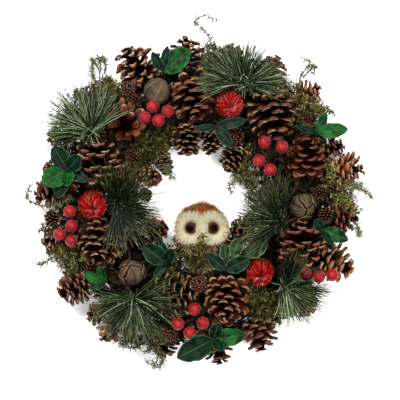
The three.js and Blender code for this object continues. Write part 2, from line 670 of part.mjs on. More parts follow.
// Berries on wires that spread from the top of one stalk.
function makeBerries() {
  for (const bunch of BERRY_BUNCHES) {
    const foot = point(...bunch.foot, SEAT);
    const hub = point(...bunch.foot, bunch.z - BERRY_HUB_DEPTH);
    let solid = stalk(foot, along(hub, point(0, 0, 1), 1), THIN_STALK);
    for (const [x, y] of bunch.at) {
      const at = point(x, y, bunch.z);
      const wire = bar(hub, at, BERRY_WIRE, 3);
      solid = solid.add(wire.add(ballSolid(at, BERRY_RADIUS, 6, 4)));
    }
    finish(bunch.node, solid, "berry");
  }
}

// Red balls, each a core under low spikes.
function makeBalls() {
  const random = seeded(11);
  for (const ball of BALLS) {
    const at = point(ball.x, ball.y, ball.z);
    const solid = spiked(ballOf(at, ball.radius - BRISTLE, 7, 6), at, BRISTLE, random);
    finish(ball.node, solid.add(stalk(seatUnder(ball.x, ball.y), at, THIN_STALK)), "ball");
  }
}

// A curved flap of husk that stands off the pod, from below it to above its waist.
function podFlap(at, radius, bearing) {
  const rows = [-60, -20, 20, 48].map((rise, step) => {
    const reach = radius * (1.02 + 0.05 * step);
    const spread = [26, 34, 28, 6][step];
    const edge = (turn, grow) => along(at, direction(bearing + turn, rise), reach + grow);
    return [edge(-spread, 0), edge(0, 0.4), edge(spread, 0), edge(spread, 1), edge(0, 1.8), edge(-spread, 1)];
  });
  return skin(rows);
}

// Pods: a ribbed body that is drawn in between the ribs, with its flaps.
function makePods() {
  const ribs = 6;
  const drawnIn = 0.06;
  for (const pod of PODS) {
    const at = point(pod.x, pod.y, pod.z);
    const { corners, faces } = ballOf(at, pod.radius - HUSK, ribs * 2, 5);
    corners.forEach((corner, step) => {
      if (step % 2) {
        corner.lerp(at, drawnIn);
      }
    });
    let solid = solidFrom(corners, faces).add(stalk(seatUnder(pod.x, pod.y), at, POD_STALK));
    for (const bearing of pod.flaps) {
      solid = solid.add(podFlap(at, pod.radius - HUSK, bearing));
    }
    finish(pod.node, largest(solid), "pod");
  }
}

// The owl: head and body under low tufts, with face discs, eyes and a beak.
function makeOwl() {
  const head = point(OWL.x, OWL.y, OWL.z);
  const bodyAt = point(OWL.x, OWL.y - OWL.neck, OWL.z - 8);
  const tufts = seeded(23);
  const faceSide = (place) => place.z > OWL.z + OWL.head * 0.3 || place.y < OWL.y - OWL.head * 0.45;
  let solid = spiked(ballOf(head, OWL.head - TUFT, 8, 5), head, TUFT, tufts, faceSide);
  const neckSide = (place) => place.distanceTo(head) < OWL.head + 4;
  solid = solid.add(spiked(ballOf(bodyAt, OWL.body - TUFT, 6, 4), bodyAt, TUFT, tufts, neckSide));
  const owlSeat = point(OWL.x, -SEAT_INNER - 3, SEAT);
  solid = solid.add(stalk(owlSeat, point(OWL.x, OWL.y - 40, OWL.z - 4), OWL_STALK));
  for (const side of [-1, 1]) {
    const face = point(OWL.x + side * OWL.head * 0.37, OWL.y, OWL.z + OWL.head * 0.8);
    const front = direction(side > 0 ? 0 : 180, 76);
    const disc = skin([
      ringOf(along(face, front, -4), front, OWL.disc * 0.8, 9),
      ringOf(along(face, front, 3), front, OWL.disc * 0.94, 9),
    ]);
    solid = solid.add(disc).add(ballSolid(along(face, front, 2.5), OWL.eye, 6, 4));
  }
  const beak = point(OWL.x, OWL.y - 6, OWL.z + OWL.head * 0.94);
  const beakTip = along(beak, point(0, -0.3, 1), 6);
  const level = point(0, 0, 1);
  solid = solid.add(skin([ringOf(beak, level, 3.4, 4), ringOf(beakTip, level, 0.8, 4)]));
  finish("owl", largest(solid), "owl");
}

// Where a leaf may stand: at its own bearing and length first, then turned, steeper or younger.
function leafTrials(leaf) {
  const trials = [];
  for (const share of [1, 0.84, 0.68]) {
    for (const turn of [0, 14, -14]) {
      for (let rise = leaf.rise; rise < STEEPEST_LEAF; rise += RISE_STEP) {
        const [length, width] = [leaf.length * share, leaf.width * share];
        trials.push({ bearing: leaf.bearing + turn, length, width, rise });
      }
    }
  }
  return trials;
}

// A leaf: a pointed blade, widest before its middle, that cups a little and bends down at its tip.
function leafSolid(root, leaf, thick) {
  const run = direction(leaf.bearing, leaf.rise);
  const [side, up] = crosswise(run);
  const shape = [[0, 0.06], [0.34, 0.46], [0.72, 0.42]];
  const rows = shape.map(([share, half]) => {
    const rib = along(along(root, run, leaf.length * share), up, -leaf.length * 0.12 * share ** 2);
    const edge = (reach, lift) => along(along(rib, side, reach * leaf.width), up, lift);
    return [edge(half, 0), edge(-half, 0), edge(-half, -thick), edge(half, -thick)];
  });
  const tip = along(along(root, run, leaf.length), up, -leaf.length * 0.14);
  const corners = [...rows.flat(), tip];
  const faces = [[0, 2, 1], [0, 3, 2]];
  for (let edge = 0; edge < 4; edge += 1) {
    const next = (edge + 1) % 4;
    for (const row of [0, 4]) {
      faces.push([row + edge, row + next, row + 4 + next], [row + edge, row + 4 + next, row + 4 + edge]);
    }
    faces.push([8 + edge, 8 + next, 12]);
  }
  return solidFrom(corners, faces);
}

// Each leaf stands where it meets nothing that is there already, or else is left out.
function makeLeaves() {
  for (const cluster of LEAF_CLUSTERS) {
    const hub = point(...cluster.hub, cluster.z);
    let solid = stalk(seatUnder(...(cluster.foot ?? cluster.hub)), hub, STALK_RADIUS);
    const grown = [];
    cluster.leaves.forEach((leaf, step) => {
      const root = along(hub, point(0, 0, 1), -LEAF_STEP * step);
      for (const blade of leafTrials(leaf)) {
        const run = direction(blade.bearing, blade.rise);
        const base = along(root, run, leaf.stem ?? 0);
        const test = leafSolid(along(base, run, LEAF_STALK), blade, LEAF_THICKNESS * 2);
        const stem = bar(root, along(base, run, LEAF_STALK), STEM_RADIUS, 3);
        const free = !meetsAny(test) && !(leaf.stem && meetsAny(stem));
        if (free && grown.every((other) => other.intersect(test).isEmpty())) {
          grown.push(test);
          solid = solid.add(leafSolid(base, blade, LEAF_THICKNESS));
          solid = leaf.stem ? solid.add(stem) : solid;
          break;
        }
      }
    });
    finish(cluster.node, largest(solid), "leaf");
  }
}

// A needle: a long spike on a triangle of the twig.
function needleOn(foot, tip) {
  return solidFrom([...foot, tip], [[0, 2, 1], [0, 1, 3], [1, 2, 3], [2, 0, 3]]);
}

// The facets of an upright twig, from the lowest row to the top one.
function twigSurface(hub) {
  const around = 9;
  const rows = 4;
  const corners = [];
  const facets = [];
  for (let row = 0; row <= rows; row += 1) {
    const share = row / rows;
    const reach = TWIG_RADIUS * (0.7 + 0.5 * Math.sin(Math.PI * share));
    for (let step = 0; step < around; step += 1) {
      const angle = ((step + (row % 2) / 2) / around) * ROUND;
      const out = point(Math.cos(angle), Math.sin(angle), 0);
      corners.push(along(along(hub, out, reach), point(0, 0, 1), TWIG_HEIGHT * (share - 0.5)));
    }
  }
  const corner = (row, step) => row * around + (step % around);
  for (let row = 0; row < rows; row += 1) {
    for (let step = 0; step < around; step += 1) {
      const [low, high] = [row % 2 ? 1 : 0, row % 2 ? 0 : 1];
      const upper = [corner(row + 1, step + 1), corner(row + 1, step)];
      facets.push({ row, ends: [corner(row, step), corner(row, step + 1), corner(row + 1, step + low)] });
      facets.push({ row: row + 0.5, ends: [corner(row, step + high), ...upper] });
    }
  }
  const caps = [];
  for (let step = 1; step + 1 < around; step += 1) {
    caps.push([0, step + 1, step], [corner(rows, 0), corner(rows, step), corner(rows, step + 1)]);
  }
  return { corners, facets, caps, rows };
}

// A spray: needles on the facets of its twig, fanned out between two bearings.
function makeSprays() {
  const random = seeded(31);
  for (const spray of SPRAYS) {
    const hub = point(...spray.hub, spray.z);
    const middle = (spray.from + spray.to) / 2;
    const half = (spray.to - spray.from) / 2;
    const covered = Math.min(half + 45, 160);
    const { corners, facets, caps, rows } = twigSurface(hub);
    const faces = [...caps];
    const grown = [];
    for (const { row, ends } of facets) {
      const foot = ends.map((end) => corners[end]);
      const centre = foot.reduce((sum, place) => sum.add(place), point(0, 0, 0)).divideScalar(3);
      const facing = THREE.MathUtils.radToDeg(Math.atan2(centre.y - hub.y, centre.x - hub.x));
      const turn = THREE.MathUtils.euclideanModulo(facing - middle + 180, 360) - 180;
      const bearing = middle + half * (turn / covered);
      const length = NEEDLE_LENGTH * spray.reach * (0.84 + 0.24 * random());
      const wide = foot.map((place) => between(centre, place, 1.7));
      let tip = null;
      let rise = Math.abs(turn) <= covered ? 24 * (row / rows) - 4 : STEEPEST_NEEDLE;
      for (; rise < STEEPEST_NEEDLE && !tip; rise += RISE_STEP) {
        const end = along(centre, direction(bearing, rise), length);
        const slim = foot.map((place) => between(place, end, 0.15));
        const test = needleOn(slim, end);
        if (!meetsAny(needleOn(wide, end)) && grown.every((other) => other.intersect(test).isEmpty())) {
          grown.push(test);
          tip = corners.push(end) - 1;
        }
      }
      const [a, b, c] = ends;
      faces.push(...(tip ? [[a, b, tip], [b, c, tip], [c, a, tip]] : [[a, b, c]]));
    }
    const twig = solidFrom(corners, faces);
    finish(spray.node, largest(twig.add(stalk(seatUnder(...spray.hub), hub, STALK_RADIUS))), "needle");
  }
}

// A moss sprig: a wiry stem, with a tuft on every other facet of it.
function makeSprigs() {
  const random = seeded(43);
  const sides = 3;
  for (const sprig of SPRIGS) {
    const curve = new THREE.CatmullRomCurve3(sprig.path.map((place) => point(...place)));
    const steps = sprig.path.length * 2;
    const corners = [];
    const faces = [];
    for (let step = 0; step <= steps; step += 1) {
      const share = step / steps;
      const run = curve.getTangent(share);
      const side = run.clone().cross(SPRIG_UP).normalize();
      const frame = [side, run.clone().cross(side)];
      corners.push(...ringOf(curve.getPoint(share), run, 1.5 - 0.6 * share, sides, frame));
    }
    corners.slice(0, sides).forEach((corner) => corner.setZ(SEAT));
    const last = steps * sides;
    const rings = [];
    for (let step = 0; step <= last; step += sides) {
      rings.push(corners.slice(step, step + sides));
    }
    const grown = [skin(rings)];
    faces.push([0, 2, 1], [last, last + 1, last + 2]);
    for (let step = 0; step < steps; step += 1) {
      for (let side = 0; side < sides; side += 1) {
        const [a, b] = [step * sides + side, step * sides + ((side + 1) % sides)];
        faces.push([a, b, b + sides]);
        const [c, d, e] = [corners[a], corners[b + sides], corners[a + sides]];
        const centre = c.clone().add(d).add(e).divideScalar(3);
        const out = centre.clone().sub(curve.getPoint((step + 0.5) / steps)).normalize();
        const end = along(centre, out, 4 + 3 * random());
        const test = needleOn([c, d, e].map((place) => between(place, end, 0.1)), end);
        const alone = grown.every((other) => other.intersect(test).isEmpty());
        if (step > steps / 3 && alone && !meetsAny(needleOn([c, d, e], end))) {
          grown.push(test);
          const tip = corners.push(end) - 1;
          faces.push([a, b + sides, tip], [b + sides, a + sides, tip], [a + sides, a, tip]);
        } else {
          faces.push([a, b + sides, a + sides]);
        }
      }
    }
    finish(sprig.node, solidFrom(corners, faces), "moss");
  }
}

makeRing();
keepRoom();
makeCones();
makeBerries();
makeBalls();
makePods();
makeOwl();
makeLeaves();
makeSprays();
makeSprigs();

// The meshes, in one group that is moved so that the box of the whole is centred over the origin.
const wreath = new THREE.Group();
const whole = new THREE.Box3();
for (const [name, { solid, colour }] of made) {
  const { vertProperties, triVerts } = solid.getMesh();
  const geometry = new THREE.BufferGeometry();
  geometry.setAttribute("position", new THREE.BufferAttribute(vertProperties, 3));
  geometry.setIndex(new THREE.BufferAttribute(triVerts, 1));
  const material = new THREE.MeshStandardMaterial({ color: COLOURS[colour], roughness: 0.7, metalness: 0 });
  const mesh = new THREE.Mesh(geometry, material);
  mesh.name = name;
  wreath.add(mesh);
  whole.expandByObject(mesh);
}
const middle = whole.getCenter(point(0, 0, 0));
wreath.position.set(-middle.x, -middle.y, 0);

export default wreath;
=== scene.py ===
import math

import bpy
import numpy as np
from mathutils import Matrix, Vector


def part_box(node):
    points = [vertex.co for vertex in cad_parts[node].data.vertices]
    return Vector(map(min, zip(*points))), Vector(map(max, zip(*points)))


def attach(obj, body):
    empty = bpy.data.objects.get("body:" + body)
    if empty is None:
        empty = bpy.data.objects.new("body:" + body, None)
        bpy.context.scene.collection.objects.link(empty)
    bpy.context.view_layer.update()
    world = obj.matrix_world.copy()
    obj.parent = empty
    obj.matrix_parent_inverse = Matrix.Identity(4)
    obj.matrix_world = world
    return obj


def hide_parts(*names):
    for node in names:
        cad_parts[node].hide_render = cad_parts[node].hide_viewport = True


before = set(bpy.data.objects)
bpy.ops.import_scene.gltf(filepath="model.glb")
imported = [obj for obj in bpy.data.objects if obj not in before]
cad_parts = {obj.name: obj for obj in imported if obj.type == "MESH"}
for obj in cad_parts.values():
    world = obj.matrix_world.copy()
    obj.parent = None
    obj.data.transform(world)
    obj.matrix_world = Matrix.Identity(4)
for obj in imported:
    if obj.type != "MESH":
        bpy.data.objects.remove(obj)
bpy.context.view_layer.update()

MM = 0.001
TAU = 2 * math.pi
GOLDEN_ANGLE = math.pi * (3 - math.sqrt(5))
# Size of a photo pixel, width of the photo in pixels, and the pixel at the middle of the wreath.
PIXEL = 1.1
PHOTO_WIDTH = 400
PHOTO_MIDDLE = (200, 204)

# The ring, and the height and radii at which stalks stand on it.
RING_INNER, RING_OUTER, RING_HEIGHT, RING_CHAMFER = 84, 138, 20, 5
SEAT, SEAT_INNER, SEAT_OUTER = 20.3, 90, 132
BERRY_RADIUS = 7
LEAF_THICKNESS = 0.9
# How far each leaf of a cluster starts below the one before it.
LEAF_STEP = 1.6
# Half the width of a leaf, as a share of its width, by the place along it.
LEAF_OUTLINE = ([0, 0.08, 0.2, 0.38, 0.6, 0.8, 0.92, 0.98, 1],
                [0.05, 0.18, 0.38, 0.49, 0.48, 0.37, 0.21, 0.09, 0.01])
NEEDLE_LENGTH = 54
# The gap that fine parts keep to the round pieces, and how far frost, bristles and husk stand out of those.
CLEAR = 0.5
FROST_REACH, BRISTLE_REACH, HUSK_REACH = 0.4, 1.5, 0.8
# The highest that a needle may reach, and the lowest that any piece goes.
TOP_LIMIT = 97
LOWEST = 0.1
# Colours are dimmed by this share, because the studio light brightens them.
LIGHT_SHARE = 0.34
FLOOR_GLOW = 0.3
# Number of moss tufts in a ball, by the square of its radius in pixels.
MOSS_DENSITY = 0.195
# Size of a bark chip.
CHIP = 7.0
# Bands of moss, painted dark as the shade between the pieces, and bark chips on and beside the ring, in each
# quarter: tufts, chips, inner and outer radius, and lowest and highest place.
BED_BANDS = [(46, 420, 90, 133, 23, 34), (84, 940, 133, 153, 5, 32), (30, 400, 75, 88, 6, 32)]

ring_low, ring_high = (np.array(corner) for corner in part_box("base_ring"))
MIDDLE = np.array([*((ring_low + ring_high) / 2)[:2], 0.0])

# Pine cones: node, middle in plan, radius, heading of the tip, lean from upright, colour and style.
CONES = [
    ("cone_top_left", -70, 152, 26, 125, 68, "brown", "finger"),
    ("cone_top", -16, 166, 21, 90, 74, "brown", "finger"),
    ("cones_top_inner", -9, 116, 29, 280, 72, "brown", "crescent"),
    ("cones_top_inner", -13, 71, 20, 265, 62, "dark", "crescent"),
    ("cones_top_inner", 10, 68, 15, 280, 66, "dark", "finger"),
    ("cones_inner_upper_right", 38, 50, 18, 228, 62, "dark", "crescent"),
    ("cone_upper_right", 80, 97, 30, 280, 74, "dark", "crescent"),
    ("cone_top_behind_needles", 35, 163, 17, 95, 76, "brown", "finger"),
    ("cone_outer_top_right", 79, 147, 19, 62, 74, "brown", "finger"),
    ("cone_small_orange", 121, 124, 15, 20, 76, "orange", "open"),
    ("cones_right", 119, 54, 24, 100, 55, "plain", "broad"),
    ("cones_right", 146, 61, 16, 20, 72, "red", "finger"),
    ("cones_right", 162, 38, 20, 0, 78, "orange", "open"),
    ("cones_outer_right", 158, -16, 18, 355, 74, "red", "open"),
    ("cone_lower_right", 112, -40, 28, 92, 70, "red", "crescent"),
    ("cone_outer_lower_right", 150, -66, 22, 335, 74, "orange", "open"),
    ("cone_inner_right", 46, -27, 15, 175, 62, "dark", "finger"),
    ("cone_under_needles", 113, -108, 20, 320, 74, "brown", "finger"),
    ("cone_bottom_right", 66, -144, 21, 280, 74, "brown", "open"),
    ("cone_bottom_big", 29, -106, 28, 262, 48, "red", "crescent"),
    ("cones_bottom", 20, -161, 18, 275, 76, "brown", "open"),
    ("cones_bottom_inner", -26, -99, 27, 5, 70, "dark", "crescent"),
    ("cones_bottom_left", -39, -155, 16, 262, 76, "dark", "finger"),
    ("cones_outer_lower_left", -98, -139, 18, 240, 74, "orange", "open"),
    ("cones_outer_lower_left", -113, -122, 15, 200, 70, "red", "open"),
    ("cone_left_end", -140, -94, 20, 205, 66, "brown", "crescent"),
    ("cone_left_big", -110, -44, 27, 265, 55, "yellow", "crescent"),
    ("cones_outer_left", -161, -40, 17, 185, 74, "brown", "finger"),
    ("cones_left_flower", -163, 14, 22, 200, 64, "red", "open"),
    ("cones_left_flower", -163, 38, 13, 150, 72, "brown", "finger"),
    ("cones_upper_left", -113, 48, 28, 92, 70, "dark", "crescent"),
    ("cones_upper_left", -113, 22, 14, 190, 45, "dark", "open"),
    ("cone_outer_left_needles", -154, 74, 16, 162, 76, "dark", "finger"),
    ("cone_outer_upper_left", -126, 118, 16, 150, 76, "red", "finger"),
    ("cones_flower", -79, 90, 26, 250, 20, "flower", "flower"),
    ("cones_inner_left", -41, 42, 12, 290, 60, "dark", "crescent"),
    ("cones_inner_left", -53, 31, 13, 330, 45, "brown", "finger"),
    ("cone_inner_lower_left", -49, -29, 15, 20, 60, "red", "open"),
]
# Where a node's stalk stands on the ring, if not right below it.
FEET = {"cone_top": (-32, 126), "leaves_lower_right": (46, -78)}

# Small woody cones: node, x, y, z, radius, heading and lean.
SMALL_CONES = [
    ("cones_flower", -79, 127, 46, 9, 60, 15),
    ("cones_flower", -71, 114, 50, 7, 100, 70),
    ("cones_inner_upper_right", 38, 75, 44, 10, 200, 20),
    ("cones_outer_left", -163, -15, 44, 9, 90, 60),
    ("cones_bottom_inner", -2, -88, 52, 10, 60, 20),
    ("cones_bottom", 2, -145, 50, 8, 40, 15),
    ("cones_bottom_left", -33, -147, 46, 9, 180, 15),
    ("cones_outer_right", 138, -13, 48, 9, 292, 75),
    ("cones_outer_right", 132, 13, 46, 8, 90, 75),
]

# More small cones, each a piece of its own: piece, x, y, z, radius, heading and lean.
LOOSE_CONES = [
    ("small_cone_inner_left", -75, 53, 40, 8, 200, 60),
    ("small_cone_upper_right", 120, 93, 44, 8, 60, 50),
    ("small_cone_right", 151, 20, 38, 9, 20, 70),
    ("small_cone_left", -121, -68, 36, 9, 230, 60),
    ("small_cone_inner_left_low", -60, 10, 36, 8, 300, 60),
]

# Frosted berries: node, foot of the bunch, middles in plan, and z.
BERRY_BUNCHES = [
    ("berries_upper_left", (-48, 98), [(-51, 106), (-35, 101), (-60, 94), (-45, 91)], 66),
    ("berries_upper_right", (74, 52), [(70, 67), (89, 62), (64, 47), (76, 37)], 70),
    ("berries_left", (-124, -23), [(-142, -8), (-140, -24), (-153, -33), (-140, -40)], 62),
    ("berries_bottom", (-8, -126), [(-6, -114), (-24, -130), (3, -129), (-11, -140)], 68),
    ("berries_right", (128, -70), [(114, -75), (129, -79), (144, -77)], 66),
]
# Bristly red balls: node, x, y, z, radius and bearing of the pole.
BALLS = [
    ("red_ball_top", 32, 109, 62, 15, 275),
    ("red_ball_left", -117, -1, 62, 15.5, 290),
    ("red_ball_right", 65, -74, 62, 15, 275),
]
# Seed pods: node, x, y, z, radius, bearings of the husk's flaps, bearing and rise of the pole, and bearings
# of the open cracks.
PODS = [
    ("pod_top", -47, 123, 56, 16, [], 62, 25, []),
    ("pod_lower_left", -74, -75, 56, 15, [130, 215, 5], 100, 50, [20, 140]),
    ("pod_right", 112, -2, 54, 15, [25, 280], -40, 66, [95, 195, 315]),
]

# Leaf clusters: node, hub, z, and each leaf by bearing, length, width, rise, colour and, if it has one, stem.
LEAF_CLUSTERS = [
    ("leaves_top", (-41, 144), 68, [
        (118, 24, 11, 25, "deep"), (78, 28, 10, 15, "deep"), (38, 38, 25, 12, "bright"),
        (168, 28, 7, 20, "deep"), (190, 26, 9, 10, "deep")]),
    ("leaves_left", (-143, 37), 68, [
        (122, 30, 22, 18, "deep"), (62, 24, 18, 28, "deep"), (206, 32, 24, 14, "bright"),
        (268, 24, 15, 30, "bright"), (330, 26, 12, 22, "deep"), (246, 34, 16, 8, "deep")]),
    ("leaves_lower_left", (-104, -86), 66, [
        (152, 26, 11, 22, "bright"), (105, 24, 10, 35, "bright"), (200, 18, 9, 18, "bright")]),
    ("leaves_inner_left", (-37, -64), 64, [
        (142, 32, 22, 20, "deep"), (110, 30, 14, 10, "deep"), (66, 24, 14, 16, "deep"),
        (165, 34, 14, 32, "deep"), (232, 22, 9, 20, "deep")]),
    ("leaves_under_top_ball", (17, 84), 66, [
        (12, 34, 12, 12, "deep"), (186, 24, 8, 14, "deep"), (310, 28, 13, 18, "deep")]),
    ("leaves_outer_right", (127, 78), 64, [
        (6, 34, 17, 10, "bright"), (164, 25, 8, 22, "deep"), (50, 24, 11, 18, "bright")]),
    ("leaves_right", (133, -28), 66, [
        (128, 15, 13, 30, "deep"), (338, 30, 16, 12, "bright"), (300, 26, 8, 16, "deep")]),
    ("leaves_lower_right", (28, -72), 64, [
        (138, 27, 14, 14, "deep"), (26, 30, 18, 18, "deep"), (66, 22, 16, 14, "olive", 17),
        (92, 18, 12, 22, "olive", 12), (36, 30, 20, 8, "olive", 26)]),
    ("leaves_bottom", (14, -147), 68, [
        (206, 44, 27, 6, "deep"), (70, 20, 15, 24, "deep"), (8, 36, 20, 14, "bright"),
        (332, 22, 12, 14, "deep"), (34, 42, 9, 30, "deep")]),
]
# Needle sprays: node, hub, z, first and last bearing, length as a share of NEEDLE_LENGTH, and paleness.
SPRAYS = [
    ("needles_upper_left", (-119, 79), 68, 48, 198, 0.98, 1.15),
    ("needles_top", (47, 131), 68, -22, 196, 0.88, 1.15),
    ("needles_left", (-90, -3), 68, -92, 108, 0.82, 0.52),
    ("needles_right", (87, -21), 68, 80, 214, 0.86, 0.62),
    ("needles_lower_left", (-72, -103), 68, 158, 368, 0.92, 0.78),
    ("needles_lower_right", (92, -90), 68, -82, 68, 0.86, 0.8),
]
# The sprays whose needles carry frost.
FROSTED_SPRAYS = {"needles_lower_left", "needles_top", "needles_left"}
# Moss sprigs: node, and points along the stem.
SPRIGS = [
    ("moss_sprig_top", [(8, 129, 20), (8, 140, 44), (6, 160, 56), (12, 178, 58), (2, 192, 56), (-5, 200, 54),
                        (6, 206, 54), (22, 200, 52)]),
    ("moss_sprig_left", [(-129, -14, 20), (-138, 6, 44), (-160, -2, 58), (-180, 0, 52), (-190, 8, 46),
                         (-188, 20, 44)]),
]

# Moss clumps: piece, hue from 0 (brown green) to 1 (yellow green), light, and balls of moss, each by its
# place and radius in photo pixels and its height.
MOSS = [
    ("moss_upper_left", 0.8, 1.2, [
        (101, 82, 9, 46), (108, 88, 11, 48), (118, 92, 9, 46), (97, 91, 9, 40)]),
    ("moss_top", 0.35, 1.0, [
        (205, 58, 17, 44), (212, 72, 15, 48), (198, 76, 12, 46), (222, 56, 11, 42)]),
    ("moss_upper_right", 0.55, 1.25, [
        (278, 90, 13, 50), (292, 98, 14, 50), (305, 108, 14, 48), (316, 114, 12, 46), (265, 86, 9, 46),
        (300, 120, 9, 46)]),
    ("moss_inner_left", 0.4, 1.0, [
        (150, 140, 15, 46), (142, 154, 14, 44), (158, 152, 12, 42), (165, 132, 10, 44), (135, 166, 9, 40)]),
    ("moss_inner_right", 0.55, 1.0, [
        (246, 164, 11, 42), (252, 178, 12, 42), (240, 172, 8, 36), (258, 192, 10, 44), (247, 152, 8, 42)]),
    ("moss_right", 1.0, 1.5, [
        (334, 178, 12, 46), (341, 190, 13, 46), (346, 203, 12, 44), (330, 168, 9, 44), (352, 213, 9, 40)]),
    ("moss_left", 0.7, 1.0, [
        (50, 232, 11, 44), (60, 244, 13, 46), (68, 258, 13, 46), (72, 268, 10, 44), (54, 254, 9, 40),
        (80, 262, 9, 42)]),
    ("moss_bottom_left", 0.5, 1.0, [
        (136, 334, 11, 44), (148, 342, 12, 44), (158, 340, 11, 44), (160, 328, 10, 46), (128, 342, 9, 40)]),
    ("moss_bottom_right", 0.6, 1.0, [
        (260, 296, 13, 52), (272, 304, 13, 50), (264, 314, 12, 48), (280, 312, 10, 46), (254, 308, 9, 46)]),
    ("moss_under_owl", 0.5, 1.0, [
        (190, 251, 11, 62), (200, 257, 12, 63), (211, 260, 8, 60), (182, 254, 9, 54), (181, 245, 7, 44),
        (174, 250, 8, 42), (176, 259, 8, 44), (196, 262, 10, 60), (172, 268, 8, 50)]),
    ("moss_owl_tuft", 0.68, 1.7, [
        (197, 244, 6, 80), (201, 237, 4, 83), (194, 249, 6, 78)]),
    ("moss_beside_owl", 0.3, 0.8, [
        (227, 252, 9, 40), (236, 246, 8, 38), (221, 262, 8, 42), (243, 237, 7, 36), (232, 240, 7, 34),
        (212, 318, 8, 34), (222, 312, 7, 32)]),
    ("moss_beside_berries", 0.2, 0.7, [
        (75, 210, 7, 34), (70, 198, 6, 32), (104, 128, 9, 42), (98, 136, 8, 38), (60, 213, 7, 34),
        (53, 222, 6, 34), (71, 148, 6, 34)]),
]
# Thin wisps of moss: piece, points by photo pixel, and height.
WISPS = [
    ("wisp_upper_left", [(100, 72), (95, 64), (92, 60)], 50),
    ("wisp_upper_left_inner", [(104, 74), (106, 64), (103, 58)], 52),
    ("wisp_upper_left_high", [(99, 78), (101, 66), (98, 56)], 50),
    ("wisp_upper_left_side", [(96, 82), (92, 74), (93, 66)], 48),
    ("wisp_outer_top_right", [(297, 92), (301, 76), (309, 64), (302, 58)], 50),
    ("wisp_outer_top_right_side", [(303, 78), (310, 70), (315, 66), (314, 74)], 48),
    ("wisp_right_upper", [(318, 112), (326, 108), (334, 114)], 48),
    ("wisp_right", [(346, 190), (358, 188), (366, 192), (372, 198)], 44),
    ("wisp_right_upper_arc", [(344, 188), (354, 184), (362, 186)], 46),
    ("wisp_right_lower", [(352, 216), (358, 228), (359, 238)], 42),
    ("wisp_inner_right", [(246, 176), (236, 180), (230, 186), (231, 192)], 42),
    ("wisp_inner_left", [(158, 160), (168, 171), (173, 178)], 40),
    ("wisp_left_low", [(62, 250), (46, 262), (38, 265)], 42),
    ("wisp_bottom", [(152, 344), (158, 356), (154, 366), (148, 362)], 44),
    ("wisp_bottom_side", [(154, 348), (162, 360), (160, 368)], 44),
]

# The owl: middle of its head, radii of head, body, face discs and eyes, and how far the middle of its body is
# below and behind that of its head.
OWL = {"x": 2, "y": -26, "z": 40, "head": 30, "body": 22, "disc": 19, "eye": 6.5, "neck": 29, "behind": 8}
OWL_HEAD = np.array([OWL["x"], OWL["y"], OWL["z"]], float)
OWL_BODY = OWL_HEAD - [0, OWL["neck"], OWL["behind"]]

# Radii of the stalks, wires and twigs, by what they carry, and of the end of those that grow thinner.
STALKS = {"cone": 1.8, "joined cones": 1.1, "small cone": 1.5, "loose cone": 1.3, "spray": 2.0, "leaves": 1.7,
          "leaf": 0.8, "moss": 1.2, "berries": 1.5, "berry": 0.8, "ball": 1.5, "pod": 2.1, "owl": 3.6}
STALK_END = 1.2


def srgb(red, green, blue):
    """A colour as it looks under the studio light, of 0 to 255, as the linear colour that a shader takes."""
    channels = (min(value, 255) / 255 for value in (red, green, blue))
    linear = (c / 12.92 if c <= 0.04045 else ((c + 0.055) / 1.055) ** 2.4 for c in channels)
    return (*(c * LIGHT_SHARE for c in linear), 1.0)


# Vectors.

def unit(vectors):
    shortest = 1e-9
    return vectors / np.maximum(np.linalg.norm(vectors, axis=-1, keepdims=True), shortest)


def joined(*values):
    """Values that broadcast to one shape, side by side along a new last axis."""
    return np.stack(np.broadcast_arrays(*values), -1)


def direction(bearing, rise):
    bearing, rise = np.radians(bearing), np.radians(rise)
    return joined(np.cos(rise) * np.cos(bearing), np.cos(rise) * np.sin(bearing), np.sin(rise))


def crosswise(axis):
    """Two directions square to an axis, the first of them level unless the axis is steep."""
    level = np.array([1.0, 0, 0]) if abs(axis[2]) > 0.95 else np.array([-axis[1], axis[0], 0])
    side = unit(level - axis * level.dot(axis))
    return side, np.cross(axis, side)


def spokes(side, up, angles):
    """Directions at each angle from side towards up."""
    return side * np.cos(angles)[..., None] + up * np.sin(angles)[..., None]


def from_photo(x, y, z):
    return np.array([(x - PHOTO_MIDDLE[0]) * PIXEL, (PHOTO_MIDDLE[1] - y) * PIXEL, z], float)


def seat_under(x, y):
    """The place on the ring's top that is nearest to a place in plan."""
    reach = math.hypot(x, y) or 1
    seat = min(max(reach, SEAT_INNER), SEAT_OUTER)
    return np.array([x * seat / reach, y * seat / reach, SEAT])


def smooth_path(points, steps):
    """Points along a Catmull-Rom curve through the given ones."""
    points = np.asarray(points, float)
    knots = np.concatenate([[2 * points[0] - points[1]], points, [2 * points[-1] - points[-2]]])
    short_of_end = 1e-6
    at = np.linspace(0, len(points) - 1 - short_of_end, steps)
    i, t = at.astype(int), (at % 1)[:, None]
    a, b, c, d = (knots[i + k] for k in range(4))
    square, cube = 2 * a - 5 * b + 4 * c - d, 3 * b - a - 3 * c + d
    return 0.5 * (2 * b + (c - a) * t + square * t ** 2 + cube * t ** 3)


# Meshes.

SHARP_ANGLE = 40
TWIG_TONE = (0, 0.5, 0.6)
# A direction that hardly any strand runs along, which keeps the tubes from twisting.
STRAND_UP = np.array([0.31, 0.17, 0.94])


def net(rows, sides):
    """Triangles of a net of points, wound to face out of a tube."""
    start, step = np.arange(rows - 1)[:, None] * sides, np.arange(sides)
    a = (start + step).ravel()
    b = (start + (step + 1) % sides).ravel()
    return np.concatenate([np.stack([a, b, b + sides], -1), np.stack([a, b + sides, a + sides], -1)])


def closed_net(rows, sides):
    """A net with a fan of triangles at either end."""
    fan = np.array([[0, k + 1, k] for k in range(1, sides - 1)])
    return np.concatenate([net(rows, sides), fan, fan[:, ::-1] + (rows - 1) * sides])


